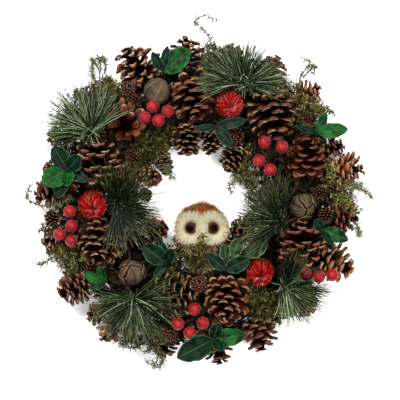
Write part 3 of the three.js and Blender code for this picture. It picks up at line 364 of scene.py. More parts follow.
class Heap:
    """Points and triangles of one piece, with three values a point: edge, chance and depth."""

    def __init__(self):
        self.points, self.triangles, self.tones, self.slots, self.count = [], [], [], [], 0

    def add(self, points, triangles, tone, slot=0):
        """Points and triangles from arrays of any shape, with one tone for all or one a point."""
        points, triangles = np.asarray(points, float).reshape(-1, 3), np.asarray(triangles).reshape(-1, 3)
        self.points.append(points)
        self.triangles.append(triangles + self.count)
        self.tones.append(np.broadcast_to(np.asarray(tone, float).reshape(-1, 3), points.shape))
        self.slots.append(np.full(len(triangles), slot))
        self.count += len(points)

    def repeat(self, shape, axes, origins, sizes, chance, slot=0):
        """Copies of a shape, each with its own axes (as columns), origin, size along each axis and chance."""
        points, triangles, tone = shape
        placed = np.einsum("kij,knj->kni", axes, points[None] * sizes[:, None, :]) + origins[:, None, :]
        number = len(origins)
        tones = np.broadcast_to(tone, (number, *tone.shape)).copy()
        tones[:, :, 1] = np.asarray(chance)[:, None]
        triangles = triangles[None] + np.arange(number)[:, None, None] * len(points)
        self.add(placed, triangles, tones, slot)

    def strands(self, paths, wide, thick, sides, tones, slot=0):
        """Tubes along paths of shape (number, steps, 3), oval where wide and thick differ.

        The radii are one value, or one a step, or one a step of each path, and so are the tones.
        """
        number, steps, _ = paths.shape
        run = unit(np.gradient(paths, axis=1))
        side = unit(np.cross(run, STRAND_UP))
        over = np.cross(side, run)
        turn = np.arange(sides) / sides * TAU
        wide = np.broadcast_to(wide, (number, steps))[:, :, None, None]
        thick = np.broadcast_to(thick, (number, steps))[:, :, None, None]
        points = (paths[:, :, None] + side[:, :, None] * np.cos(turn)[:, None] * wide
                  - over[:, :, None] * np.sin(turn)[:, None] * thick)
        tones = np.broadcast_to(tones, (number, steps, 3))
        tones = np.broadcast_to(tones[:, :, None], (number, steps, sides, 3))
        triangles = closed_net(steps, sides)[None] + np.arange(number)[:, None, None] * steps * sides
        self.add(points, triangles, tones, slot)

    def stick(self, start, end, radius, slot, tone=TWIG_TONE, tip=None):
        """A straight twig, thinner at its end where tip is given."""
        steps, sides = 4, 7
        path = np.linspace(start, end, steps)[None]
        radii = np.linspace(radius, radius if tip is None else tip, steps)
        self.strands(path, radii, radii, sides, tone, slot=slot)

    def build(self, name, materials, replaced=None):
        mesh = bpy.data.meshes.new(name)
        points = (np.concatenate(self.points) * MM + MIDDLE).astype(np.float32)
        points[:, 2] = np.maximum(points[:, 2], LOWEST * MM)
        triangles = np.concatenate(self.triangles).astype(np.int32)
        mesh.vertices.add(len(points))
        mesh.vertices.foreach_set("co", points.ravel())
        mesh.loops.add(triangles.size)
        mesh.loops.foreach_set("vertex_index", triangles.ravel())
        mesh.polygons.add(len(triangles))
        mesh.polygons.foreach_set("loop_start", np.arange(len(triangles), dtype=np.int32) * 3)
        mesh.polygons.foreach_set("material_index", np.concatenate(self.slots).astype(np.int32))
        mesh.update(calc_edges=True)
        tones = np.concatenate(self.tones)
        colours = np.concatenate([tones, np.ones((len(tones), 1))], 1).astype(np.float32)
        mesh.attributes.new("tone", "FLOAT_COLOR", "POINT").data.foreach_set("color", colours.ravel())
        mesh.shade_smooth()
        mesh.set_sharp_from_angle(angle=math.radians(SHARP_ANGLE))
        piece = bpy.data.objects.new(name, mesh)
        for material in materials:
            mesh.materials.append(material)
        bpy.context.scene.collection.objects.link(piece)
        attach(piece, "root")
        if replaced:
            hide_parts(replaced)


# Materials.

class Shader:
    """A material and short calls for the nodes that it is made of."""

    def __init__(self, name, **inputs):
        self.material = bpy.data.materials.new(name)
        self.material.use_nodes = True
        self.nodes, self.links = self.material.node_tree.nodes, self.material.node_tree.links
        self.surface = self.nodes["Principled BSDF"]
        for socket, value in inputs.items():
            self.surface.inputs[socket.replace("_", " ")].default_value = value
        tone = self.nodes.new("ShaderNodeAttribute")
        tone.attribute_name = "tone"
        parts = self.nodes.new("ShaderNodeSeparateColor")
        self.links.new(tone.outputs["Color"], parts.inputs[0])
        self.edge, self.chance, self.depth = parts.outputs
        self.place = self.nodes.new("ShaderNodeTexCoord").outputs["Object"]

    def plug(self, socket, value):
        """Joins another node's output to a socket, or sets the socket to a plain value."""
        if hasattr(value, "is_output"):
            self.links.new(value, socket)
        else:
            socket.default_value = value

    def set(self, name, value):
        self.plug(self.surface.inputs[name], value)

    def noise(self, scale, detail, distortion=0.0):
        node = self.nodes.new("ShaderNodeTexNoise")
        self.links.new(self.place, node.inputs["Vector"])
        node.inputs["Scale"].default_value = scale
        node.inputs["Detail"].default_value = detail
        node.inputs["Distortion"].default_value = distortion
        return node.outputs["Fac"]

    def ramp(self, value, *stops):
        """Each stop is a place on the ramp, with a colour or a grey."""
        node = self.nodes.new("ShaderNodeValToRGB")
        self.links.new(value, node.inputs[0])
        while len(node.color_ramp.elements) < len(stops):
            node.color_ramp.elements.new(0.5)
        for element, (at, colour) in zip(node.color_ramp.elements, stops):
            element.position = at
            element.color = colour if isinstance(colour, tuple) else (colour, colour, colour, 1)
        return node.outputs[0]

    def mix(self, share, first, second, blend="MIX"):
        first_colour, second_colour, mixed_colour = 6, 7, 2
        node = self.nodes.new("ShaderNodeMix")
        node.data_type, node.blend_type = "RGBA", blend
        self.plug(node.inputs["Factor"], share)
        self.plug(node.inputs[first_colour], first)
        self.plug(node.inputs[second_colour], second)
        return node.outputs[mixed_colour]

    def math(self, kind, first, second=0.5):
        node = self.nodes.new("ShaderNodeMath")
        node.operation = kind
        self.plug(node.inputs[0], first)
        self.plug(node.inputs[1], second)
        return node.outputs[0]

    def bump(self, height, strength, distance=0.0004):
        node = self.nodes.new("ShaderNodeBump")
        node.inputs["Strength"].default_value = strength
        node.inputs["Distance"].default_value = distance
        self.links.new(height, node.inputs["Height"])
        self.set("Normal", node.outputs[0])


def cone_material(name, deep, low, high, rim):
    """Depth runs from root to tip of a scale and darkens it to the deep colour towards the root, a painted
    shade deep in the cone; edge marks its worn rim, and chance sets its tone.
    """
    shader = Shader(name, Roughness=0.6)
    streaks = shader.noise(420, 4, 0.6)
    body = shader.mix(shader.chance, srgb(*low), srgb(*high))
    # Painted shade: the deep colour darkens each scale towards its root, where it lies deep in the cone.
    body = shader.mix(shader.ramp(shader.depth, (0.25, 0.0), (0.85, 1.0)), srgb(*deep), body)
    body = shader.mix(0.85, body, shader.ramp(streaks, (0.3, 0.35), (0.7, 1.0)), "MULTIPLY")
    uneven = shader.math("MULTIPLY", shader.math("SUBTRACT", streaks, 0.5), 1.1)
    worn = shader.math("ADD", shader.edge, uneven)
    worn = shader.math("SUBTRACT", worn, shader.math("MULTIPLY", shader.chance, 0.25))
    shader.set("Base Color", shader.mix(shader.ramp(worn, (0.5, 0.0), (0.95, 1.0)), body, srgb(*rim)))
    shader.set("Roughness", shader.ramp(streaks, (0.2, 0.8), (0.8, 0.45)))
    shader.set("Specular IOR Level", shader.ramp(shader.depth, (0.5, 0.0), (1.0, 0.25)))
    shader.bump(shader.noise(900, 4, 0.4), 0.45)
    return shader.material


# The first colour of each is a painted shade, for the roots of the scales and for the cones' spindles.
CONE_MATERIALS = {
    "dark": cone_material("cone_dark", (24, 13, 9), (60, 30, 18), (144, 78, 44), (250, 214, 152)),
    "brown": cone_material("cone_brown", (26, 14, 9), (86, 41, 25), (182, 98, 60), (236, 192, 138)),
    "red": cone_material("cone_red", (28, 13, 9), (74, 31, 20), (168, 78, 46), (234, 172, 124)),
    "plain": cone_material("cone_plain", (28, 13, 9), (66, 28, 18), (158, 74, 44), (186, 104, 68)),
    "flower": cone_material("cone_flower", (16, 7, 5), (80, 38, 24), (206, 108, 66), (232, 168, 122)),
    "orange": cone_material("cone_orange", (34, 16, 8), (150, 76, 38), (255, 156, 90), (255, 226, 176)),
    "yellow": cone_material("cone_yellow", (22, 12, 8), (62, 32, 18), (132, 72, 38), (250, 206, 128)),
    "small": cone_material("cone_small", (16, 9, 6), (84, 48, 34), (140, 88, 64), (172, 120, 92)),
}


def wood_material():
    shader = Shader("twig_bark", Roughness=0.85, Specular_IOR_Level=0.15)
    grain = shader.noise(260, 5, 0.8)
    shader.set("Base Color", shader.ramp(grain, (0.3, srgb(26, 18, 13)), (0.7, srgb(78, 54, 38))))
    shader.bump(grain, 0.7)
    return shader.material


def straw_material():
    shader = Shader("ring_straw", Roughness=0.85, Specular_IOR_Level=0.1)
    grain = shader.noise(190, 5, 0.5)
    straw = shader.mix(shader.chance, srgb(56, 40, 28), srgb(120, 90, 62))
    # Painted shade: the straw darkens to near black where edge is low, in the grooves between the strands.
    straw = shader.mix(shader.ramp(shader.edge, (0.2, 0.0), (0.8, 1.0)), srgb(24, 16, 11), straw)
    shader.set("Base Color", shader.mix(0.6, straw, shader.ramp(grain, (0.3, 0.45), (0.7, 1.0)), "MULTIPLY"))
    shader.bump(grain, 0.6)
    return shader.material


def leaf_material(name, blade, light, vein):
    """The tone holds the place along the blade, the place across it, and chance."""
    shader = Shader(name, Roughness=0.5, Specular_IOR_Level=0.06)
    along, across = shader.edge, shader.math("ABSOLUTE", shader.math("SUBTRACT", shader.chance, 0.5))
    rib = shader.ramp(across, (0.01, vein), (0.03, 0.0))
    slant = shader.math("SUBTRACT", shader.math("MULTIPLY", along, 8.0), shader.math("MULTIPLY", across, 5.0))
    wave = shader.math("ABSOLUTE", shader.math("SUBTRACT", shader.math("FRACT", slant), 0.5))
    veins = shader.ramp(wave, (0.0, 0.3 * vein), (0.07, 0.0))
    rim = shader.ramp(across, (0.41, 0.0), (0.47, vein))
    mottle = shader.noise(110, 4, 0.5)
    dark, pale = (c * 0.3 for c in blade), (c * 1.2 for c in blade)
    base = shader.mix(shader.ramp(mottle, (0.36, 0.0), (0.62, 1.0)), srgb(*dark), srgb(*pale))
    base = shader.mix(0.35, base, shader.ramp(shader.depth, (0.0, 0.6), (1.0, 1.0)), "MULTIPLY")
    marks = shader.math("MAXIMUM", shader.math("MAXIMUM", rib, veins), rim)
    shader.set("Base Color", shader.mix(marks, base, srgb(*light)))
    shader.bump(shader.math("MAXIMUM", shader.math("MAXIMUM", rib, veins), mottle), 0.9, 0.0008)
    return shader.material


LEAF_MATERIALS = {
    "deep": leaf_material("leaf_deep", (8, 43, 22), (74, 126, 84), 0.8),
    "bright": leaf_material("leaf_bright", (26, 102, 36), (84, 156, 74), 0.45),
    "olive": leaf_material("leaf_olive", (44, 76, 38), (140, 172, 116), 0.85),
}


def needle_material():
    shader = Shader("pine_needle", Roughness=0.5, Specular_IOR_Level=0.12)
    blade = shader.ramp(shader.chance, (0.1, srgb(10, 17, 8)), (0.42, srgb(52, 74, 42)),
                        (0.62, srgb(148, 176, 120)), (0.86, srgb(222, 246, 194)))
    # Painted shade: the blade darkens towards the needle's root, by depth, where the needles crowd at the
    # hub.
    blade = shader.mix(shader.ramp(shader.depth, (0.0, 0.0), (0.4, 1.0)), srgb(22, 26, 14), blade)
    tip = shader.ramp(shader.edge, (0.8, 0.0), (1.0, 0.6))
    shader.set("Base Color", shader.mix(tip, blade, srgb(176, 174, 116)))
    shader.bump(shader.noise(700, 2), 0.2)
    return shader.material


def moss_material(name, dull, bright):
    """Depth is the hue of the clump, from dull to bright, and edge the height in the tuft times the tuft's
    shade. The moss darkens as edge falls, a painted shade low in the tufts and in sunk ones.
    """
    shader = Shader(name, Roughness=0.95, Specular_IOR_Level=0.06)
    low, high = (shader.mix(shader.chance, srgb(*dark), srgb(*light)) for dark, light in (dull, bright))
    moss = shader.mix(shader.depth, low, high)
    # Painted shade: this multiply darkens the moss towards the base of each tuft and in the sunk tufts.
    moss = shader.mix(1.0, moss, shader.ramp(shader.edge, (0.0, 0.03), (0.35, 0.28), (0.8, 1.0)), "MULTIPLY")
    shader.set("Base Color", moss)
    shader.bump(shader.noise(900, 2), 0.4)
    return shader.material


def berry_material():
    shader = Shader("frosted_berry", Roughness=0.45, Specular_IOR_Level=0.2, Sheen_Weight=0.12,
                    Sheen_Roughness=0.3, Sheen_Tint=(1.0, 0.6, 0.65, 1))
    frost = shader.noise(1500, 3)
    skin = shader.ramp(shader.noise(110, 2), (0.3, srgb(158, 6, 18)), (0.7, srgb(226, 20, 34)))
    frosted = shader.ramp(frost, (0.62, 0.0), (0.8, 0.3))
    shader.set("Base Color", shader.mix(frosted, skin, srgb(255, 120, 126)))
    shader.bump(frost, 0.6)
    return shader.material


def frost_material(name, low, high):
    shader = Shader(name, Roughness=0.4, Specular_IOR_Level=0.3)
    shader.set("Base Color", shader.mix(shader.noise(300, 2), srgb(*low), srgb(*high)))
    return shader.material


def foil_material():
    shader = Shader("red_foil", Roughness=0.3, Metallic=0.3, Specular_IOR_Level=0.2)
    # Painted highlight: strands picked at random are lightened to a pale glint.
    bright = shader.ramp(shader.chance, (0.68, 0.0), (0.9, 1.0))
    # Painted shade: outer darkens the strands towards their roots and the core, inside the ball.
    outer = shader.ramp(shader.depth, (0.1, 0.0), (0.8, 1.0))
    shine = shader.mix(bright, srgb(230, 2, 6), srgb(255, 146, 124))
    shader.set("Base Color", shader.mix(outer, srgb(74, 1, 6), shine))
    shader.bump(shader.noise(800, 2), 0.3)
    return shader.material


def pod_material():
    """Edge is a painted shade, near black in the opened cracks and on the flaps' inner faces; chance is the
    streak, and depth the lighter torn margin.
    """
    shader = Shader("seed_pod", Roughness=0.7, Specular_IOR_Level=0.1)
    grain = shader.noise(90, 6, 0.9)
    uneven = shader.math("MULTIPLY", shader.math("SUBTRACT", grain, 0.5), 1.2)
    streak = shader.math("ADD", shader.chance, uneven)
    husk = shader.ramp(streak, (0.1, srgb(32, 23, 16)), (0.4, srgb(82, 64, 48)), (1.0, srgb(150, 126, 98)))
    husk = shader.mix(0.6, husk, shader.ramp(shader.noise(420, 4, 0.4), (0.3, 0.5), (0.7, 1.0)), "MULTIPLY")
    husk = shader.mix(shader.ramp(shader.depth, (0.5, 0.0), (0.9, 1.0)), husk, srgb(190, 146, 104))
    # Painted shade: the husk turns near black where edge is high, in the opened cracks and on the flaps'
    # inner faces.
    shader.set("Base Color", shader.mix(shader.edge, husk, srgb(14, 9, 6)))
    shader.bump(grain, 0.6)
    return shader.material


def fibre_material(name, low, high, root):
    shader = Shader(name, Roughness=0.85, Specular_IOR_Level=0.1)
    fibre = shader.mix(shader.chance, srgb(*low), srgb(*high))
    # The root colour darkens the fur towards its roots, a painted shade within the fur; on the face discs it
    # is instead the brown round the eyes.
    grown = shader.ramp(shader.edge, (0.0, 0.0), (0.55, 1.0))
    shader.set("Base Color", shader.mix(grown, srgb(*root), fibre))
    shader.bump(shader.noise(900, 2), 0.3)
    return shader.material


def eye_material():
    """Edge is how far a place lies from the middle of the eye."""
    shader = Shader("owl_eye", Roughness=0.3, Specular_IOR_Level=0.02)
    ring = shader.ramp(shader.edge, (0.0, srgb(8, 5, 4)), (0.52, srgb(12, 7, 5)), (0.68, srgb(88, 52, 30)),
                       (1.0, srgb(116, 78, 50)))
    fleck = shader.ramp(shader.noise(300, 2), (0.3, 0.6), (0.7, 1.0))
    shader.set("Base Color", shader.mix(0.4, ring, fleck, "MULTIPLY"))
    return shader.material


BARK = wood_material()
STRAW = straw_material()
NEEDLE = needle_material()
MOSS_FIBRE = moss_material("dried_moss", ((70, 56, 28), (168, 146, 88)), ((104, 112, 40), (255, 246, 138)))
PALE_MOSS = moss_material("pale_moss", ((84, 80, 52), (170, 164, 124)), ((106, 118, 66), (206, 212, 150)))
BERRY = berry_material()
FROST = frost_material("frost_grain", (255, 150, 158), (255, 226, 230))
FLECK = frost_material("frost_fleck", (214, 226, 228), (255, 255, 255))
FOIL = foil_material()
HUSK = pod_material()
CREAM = fibre_material("owl_face_fibre", (246, 228, 172), (255, 252, 222), (150, 96, 50))
# The root colours of the rust and body fibres are a painted shade at the base of the fur.
RUST = fibre_material("owl_rust_fibre", (224, 114, 50), (255, 200, 122), (172, 80, 36))
BEIGE = fibre_material("owl_body_fibre", (176, 134, 90), (250, 218, 168), (110, 78, 50))
EYE = eye_material()


# What each piece keeps clear of.

# A cone's length, and the height of its middle above the seat, on the ring and beside it, in radii. Beside
# the ring a fixed height is added.
CONE_LENGTH = 1.9
LIFT_ON_RING, LIFT_BESIDE_RING, BESIDE_RING = 0.86, 0.42, 4
# How far off another cone may be and still be a neighbour, in radii.
NEIGHBOUR = 4.5
# The share of a round piece's radius that needles leave in sight.
IN_SIGHT = 0.92
# The share of a cone's radius that stiff parts and soft ones keep out of.
STIFF_SHARE, SOFT_SHARE = 0.8, 0.62


def cone_frame(cone):
    """A cone by its middle, its axis from foot to tip and its length."""
    node, x, y, radius, heading, lean, colour, style = cone
    on_ring = RING_INNER < math.hypot(x, y) < RING_OUTER
    lift = LIFT_ON_RING * radius if on_ring else LIFT_BESIDE_RING * radius + BESIDE_RING
    return {"node": node, "radius": radius, "colour": colour, "style": style, "length": CONE_LENGTH * radius,
            "at": np.array([x, y, SEAT + lift]), "axis": direction(heading, 90 - lean)}


CONE_FRAMES = [cone_frame(cone) for cone in CONES]


def kept_balls():
    """Middle, radius and node of every round piece."""
    kept = []
    for node, _, places, z in BERRY_BUNCHES:
        kept += [((x, y, z), BERRY_RADIUS + FROST_REACH, node) for x, y in places]
    kept += [((x, y, z), radius + BRISTLE_REACH, node) for node, x, y, z, radius, _ in BALLS]
    kept += [((x, y, z), radius + HUSK_REACH, node) for node, x, y, z, radius, *_ in PODS]
    kept += [((x, y, z), radius, node) for node, x, y, z, radius, _, _ in SMALL_CONES]
    kept += [(OWL_HEAD, OWL["head"], "owl"), (OWL_BODY, OWL["body"], "owl")]
    return kept


KEPT = kept_balls()
KEPT_AT = np.array([at for at, _, _ in KEPT], float)
KEPT_RADIUS = np.array([radius for _, radius, _ in KEPT])
KEPT_NODE = np.array([node for _, _, node in KEPT])
SHOWN = np.array([node.startswith(("berries", "red_ball", "pod", "owl")) for node in KEPT_NODE])
CONE_AT = np.array([cone["at"] for cone in CONE_FRAMES])
CONE_RADIUS = np.array([cone["radius"] for cone in CONE_FRAMES], float)


def clear_of_balls(places, node=""):
    """For places of shape (..., 3), whether each is outside every round piece but those of its own node."""
    other = KEPT_NODE != node
    apart = np.linalg.norm(places[..., None, :] - KEPT_AT[other], axis=-1)
    return (apart > KEPT_RADIUS[other] + CLEAR).all(-1)


def hides_ball(places):
    """Whether each place lies in front of a berry, a red ball, a pod or the owl."""
    plan = np.linalg.norm(places[..., None, :2] - KEPT_AT[SHOWN, :2], axis=-1)
    return ((plan < KEPT_RADIUS[SHOWN] * IN_SIGHT) & (places[..., 2:] > KEPT_AT[SHOWN, 2])).any(-1)


def clear_of_ring(places):
    gap = 1
    reach = np.hypot(places[..., 0], places[..., 1])
    return (places[..., 2] > SEAT) | (reach > RING_OUTER + gap) | (reach < RING_INNER - gap)


def outside_cones(places, share):
    """Whether each place lies outside a share of every cone's radius, round the cone's middle."""
    apart = np.linalg.norm(places[..., None, :] - CONE_AT, axis=-1)
    return (apart > CONE_RADIUS * share).all(-1)


def planes_round(cone):
    """The planes half way to each neighbouring cone, nearer to the smaller one."""
    planes = []
    for other in CONE_FRAMES:
        out = other["at"] - cone["at"]
        apart = np.linalg.norm(out)
        if other is not cone and apart < cone["radius"] * NEIGHBOUR:
            share = (apart ** 2 + cone["radius"] ** 2 - other["radius"] ** 2) / (2 * apart)
            planes.append((cone["at"] + out / apart * share, out / apart))
    return planes


# Pine cones.

# By style: number of scales, their width and thickness in radii of the cone, how far they lean to its tip,
# and the share of the cone that carries them.
CONE_STYLES = {"crescent": (56, 0.47, 0.055, 0.6, 1.0), "finger": (48, 0.37, 0.07, 0.35, 1.0),
               "flower": (27, 0.34, 0.09, -0.1, 0.84), "broad": (40, 0.56, 0.05, 0.5, 1.0),
               "open": (38, 0.56, 0.065, 0.8, 1.0)}
# The share of a cone's length at which its scales start to close in.
TIP_SHARE = 0.86
# How much longer or shorter its scales may be.
ROUGH_SPREAD = {"flower": (0.66, 1.12), "open": (0.84, 1.14)}
EVEN_SPREAD = (0.86, 1.1)
# How far a scale may turn round its own length, and how much further it may on the flower.
TWIST, FLOWER_TWIST = 0.22, 3.4
# A scale that meets something is shortened by this share again and again, and left out where it is too short.
SHORTER, SHORTEST, TRIES = 0.86, 0.3, 9
# Where a cone's stalk ends, and where the cone's heel is, in lengths below its middle.
STALK_DEPTH, HEEL_DEPTH = 0.3, 0.4
# Scales of a small cone, and its length in radii.
TILES = 60
SMALL_LENGTH = 2.2


def scale_shape():
    """One scale along +Y, two units wide and one long: a stem, a spoon-like blade and a thick rounded end."""
    along = np.array([0.0, 0.4, 0.7, 0.86, 0.95, 1.0])[:, None]
    half = np.array([0.5, 0.66, 0.92, 1.0, 0.86, 0.4])[:, None]
    thick = np.array([0.6, 0.5, 0.75, 1.15, 1.2, 0.4])[:, None]
    sides = 8
    turn = np.arange(sides) / sides * TAU
    x = half * np.cos(turn)
    y = along - 0.16 * x ** 2 * along ** 3
    keel = np.where(np.sin(turn) < 0, 1.5, 0.6)
    z = thick * np.sin(turn) * keel + 1.5 * x ** 2 - 1.1 * along ** 2
    edge = np.clip((along - 0.88) / 0.07, 0, 1) * (np.sin(turn) > -0.1)
    tone = joined(edge, 0 * x, along)
    return joined(x, y, z).reshape(-1, 3), closed_net(len(along), sides)[:, ::-1], tone.reshape(-1, 3)


def tile_shape():
    """A short plain scale of a small woody cone."""
    along = np.array([0.0, 0.6, 0.88, 1.0])[:, None]
    half = np.array([0.6, 1.0, 0.8, 0.2])[:, None]
    thick = np.array([0.6, 1.0, 1.3, 0.5])[:, None]
    sides = 6
    turn = np.arange(sides) / sides * TAU
    x = half * np.cos(turn)
    z = thick * np.sin(turn) + 0.9 * x ** 2
    tone = joined(np.clip((along - 0.8) / 0.2, 0, 1), 0 * x, along ** 2)
    return joined(x, along, z).reshape(-1, 3), closed_net(len(along), sides)[:, ::-1], tone.reshape(-1, 3)


SCALE = scale_shape()
TILE = tile_shape()


def cone_core(heap, cone, slot):
    """The spindle that a cone's scales grow from."""
    rows, sides = 9, 10
    share = np.linspace(0, 1, rows)
    radius = cone["radius"] * (0.06 + 0.24 * np.sin(np.pi * (0.12 + 0.8 * share)))
    place = cone["at"] + cone["axis"] * (cone["length"] * (0.84 * share - 0.44))[:, None]
    # The spindle's low depth tone gives it the deep colour, a painted shade inside the cone.
    heap.strands(place[None], radius, radius, sides, (0, 0.2, 0.2), slot=slot)


def shorten_scales(cone, root, tip, across, width):
    """The share of each scale that is clear of what is round it, and whether the scale is kept."""
    floor, probe_side = 0.6, 0.4
    planes = planes_round(cone)
    grown = np.ones(len(root))
    for _ in range(TRIES):
        end = root + (tip - root) * grown[:, None]
        aside = across * width[:, None] * probe_side
        probes = np.stack([end, (root + end) / 2, end + aside, end - aside], 1)
        free = clear_of_balls(probes, cone["node"]) & clear_of_ring(probes) & (probes[..., 2] > floor)
        for place, away in planes:
            free &= (probes - place) @ away < 0
        waiting = ~free.all(1)
        if not waiting.any():
            break
        grown[waiting] *= SHORTER
    return grown, ~waiting & (grown > SHORTEST)


def grow_cone(heap, cone, slot, random):
    """A cone's scales, from foot to tip, each a golden angle on from the one before."""
    number, wide, thick, lean, extent = CONE_STYLES[cone["style"]]
    radius, length, axis, at = cone["radius"], cone["length"], cone["axis"], cone["at"]
    side, up = crosswise(axis)
    step = np.arange(number)
    share = extent * (step + 0.5) / number
    out = spokes(side, up, step * GOLDEN_ANGLE + random.uniform(0, TAU))
    closing = np.clip((1.02 - share) / (1 - TIP_SHARE), 0.2, 1)
    spread = random.uniform(*ROUGH_SPREAD.get(cone["style"], EVEN_SPREAD), number)
    reach = radius * np.sin(np.pi * (0.33 + 0.53 * share)) * closing * spread
    drift = random.normal(0, 0.04, number)
    level = length * (0.92 * share ** 0.9 - 0.42 + drift)
    low = np.clip(level - lean * reach, -0.26 * length, 0.4 * length)
    tip = at + axis * level[:, None] + out * reach[:, None]
    root = at + axis * low[:, None] + out * 0.1 * radius
    width = radius * wide * (0.62 + 0.38 * np.sin(np.pi * (0.22 + 0.6 * share)))
    grown, keep = shorten_scales(cone, root, tip, np.cross(out, axis), width)
    root, width, grown = root[keep], width[keep], grown[keep]
    run = (tip[keep] - root) * grown[:, None]
    size = np.linalg.norm(run, axis=1)
    run = unit(run)
    across = unit(np.cross(run, axis))
    over = np.cross(across, run)
    more = FLOWER_TWIST if cone["style"] == "flower" else 1
    tilt = random.uniform(-TWIST, TWIST, len(run))[:, None] * more
    across, over = across * np.cos(tilt) + over * np.sin(tilt), over * np.cos(tilt) - across * np.sin(tilt)
    sizes = joined(width / 2 * (0.6 + 0.4 * grown), size, radius * thick)
    heap.repeat(SCALE, np.stack([across, run, over], -1), root, sizes, random.uniform(0, 1, len(size)), slot)


def make_cones():
    """The big cones of each node, joined foot to foot by twigs, and the small cones on twigs of their own."""
    random = np.random.default_rng(7)
    nodes = {}
    for cone in CONE_FRAMES:
        nodes.setdefault(cone["node"], []).append(cone)
    for node, cones in nodes.items():
        heap = Heap()
        colours = list(dict.fromkeys(cone["colour"] for cone in cones))
        materials = [*(CONE_MATERIALS[colour] for colour in colours), BARK, CONE_MATERIALS["small"]]
        bark, small = len(colours), len(colours) + 1
        feet = []
        for cone in cones:
            slot = colours.index(cone["colour"])
            cone_core(heap, cone, slot)
            grow_cone(heap, cone, slot, random)
            heel = cone["at"] - cone["axis"] * HEEL_DEPTH * cone["length"]
            stalk_top = cone["at"] - cone["axis"] * STALK_DEPTH * cone["length"]
            feet.append(seat_under(*FEET.get(node, heel[:2])))
            heap.stick(feet[-1], stalk_top, STALKS["cone"], bark)
        above_ring = [0, 0, 1]
        for before, after in zip(feet, feet[1:]):
            heap.stick(before + above_ring, after + above_ring, STALKS["joined cones"], bark)
        for host_node, x, y, z, radius, heading, lean in SMALL_CONES:
            if host_node == node:
                host = min(cones, key=lambda cone: math.hypot(cone["at"][0] - x, cone["at"][1] - y))
                at = np.array([x, y, z], float)
                heap.stick(host["at"], at, STALKS["small cone"], bark)
                small_cone(heap, at, direction(heading, 90 - lean), radius, random, small)
        heap.build(f"fine_{node}", materials, node)


def small_cone(heap, at, axis, radius, random, slot):
    """A small woody cone with short scales that overlap like tiles."""
    length = SMALL_LENGTH * radius
    side, up = crosswise(axis)
    step = np.arange(TILES)
    share = (step + 0.5) / TILES
    out = spokes(side, up, step * GOLDEN_ANGLE)
    reach = radius * (0.1 + 0.92 * np.sin(np.pi * (0.16 + 0.8 * share))) * random.uniform(0.88, 1.06, TILES)
    root = at + axis * (length * (0.82 * share - 0.48))[:, None] + out * (reach * 0.35)[:, None]
    tip = at + axis * (length * (0.9 * share - 0.4))[:, None] + out * reach[:, None]
    run = unit(tip - root)
    across = unit(np.cross(run, axis))
    axes = np.stack([across, run, np.cross(across, run)], -1)
    sizes = joined(radius * 0.22, np.linalg.norm(tip - root, axis=1), radius * 0.07)
    rows, sides = 6, 8
    spine = np.linspace(0, 1, rows)
    core = radius * (0.12 + 0.44 * np.sin(np.pi * (0.1 + 0.8 * spine)))
    line = at + axis * (length * (0.86 * spine - 0.46))[:, None]
    # The core's low depth tone gives it the deep colour, a painted shade inside the cone, and the tiles
    # darken towards their roots in the same way.
    heap.strands(line[None], core, core, sides, (0, 0.1, 0.1), slot=slot)
    heap.repeat(TILE, axes, root, sizes, random.uniform(0, 1, TILES), slot)


def make_small_cones():
    """Small woody cones between the larger ones, each on a stalk of its own."""
    random = np.random.default_rng(17)
    for name, x, y, z, radius, heading, lean in LOOSE_CONES:
        heap = Heap()
        at = np.array([x, y, z], float)
        heap.stick(seat_under(x, y), at, STALKS["loose cone"], 1)
        small_cone(heap, at, direction(heading, 90 - lean), radius, random, 0)
        heap.build(name, [CONE_MATERIALS["small"], BARK])


# Needles, leaves and moss.

# Bundles of a spray, needles of a bundle and points of a needle.
BUNDLES, BUNDLE_NEEDLES, NEEDLE_STEPS = 24, 38, 5
# The share of the needles that are short and stand at random, and how short they are.
SHORT_ONES, SHORT_SHARE = 0.14, 0.42
# The lowest rise of a bundle, and how much higher others stand.
LOWEST_RISE, RISE_SPAN = -4, 58
# A needle that meets something is raised by this angle again and again.
NEEDLE_RISE_STEP, NEEDLE_TRIES = 5, 10
# The share of needles that are raised until they hide no round piece.
SHY_ONES = 0.9
# How far a needle sags, and how much thicker the bold ones are.
SAG, BOLD = 0.07, 1.35
# Frosted places in a spray, and grains of frost at each.
FROSTED_PLACES, PLACE_GRAINS = 40, 5
# How far below its hub a spray's stalk ends.
SPRAY_HUB_DEPTH = 2.0
# The steepest rise and the step of rises that the part's source tries for a leaf.
STEEPEST_LEAF, RISE_STEP = 60, 4
TUFT_SIZE = 8.0
# How far the edge of a moss ball lies below its crown, how deep its tufts reach, and how high over the crown.
MOSS_DOME, MOSS_DEPTH, MOSS_RISE = 16, 18, 3
# How far below a clump's or wisp's height its stalk or its foot lies.
MOSS_HEART, WISP_SUNK = 14, 9
# Twigs in each quarter of the bed.
BED_TWIGS = 80


def needle_paths(foot, bearing, rise, length, sway):
    """Paths of needles that bend aside and sag towards their tips."""
    along = np.linspace(0, 1, NEEDLE_STEPS)
    run = direction(bearing, rise)
    aside = joined(-np.sin(np.radians(bearing)), np.cos(np.radians(bearing)), 0 * bearing)
    paths = (foot[:, None] + run[:, None] * (length[:, None] * along)[..., None]
             + aside[:, None] * (sway * length)[:, None, None] * along[:, None] ** 2)
    paths[..., 2] -= SAG * length[:, None] * along ** 2
    return paths


def raise_needles(node, foot, bearing, rise, length, sway, shy):
    """Raises needles that meet something, in place, and tells their paths and which of them still meet it."""
    for _ in range(NEEDLE_TRIES):
        paths = needle_paths(foot, bearing, rise, length, sway)
        free = clear_of_balls(paths[:, 1:], node).all(1) & outside_cones(paths[:, 2:], STIFF_SHARE).all(1)
        blocked = ~free | hides_ball(paths[:, 1:]).any(1) & shy
        if not blocked.any():
            break
        rise[blocked] += NEEDLE_RISE_STEP
    return paths, blocked


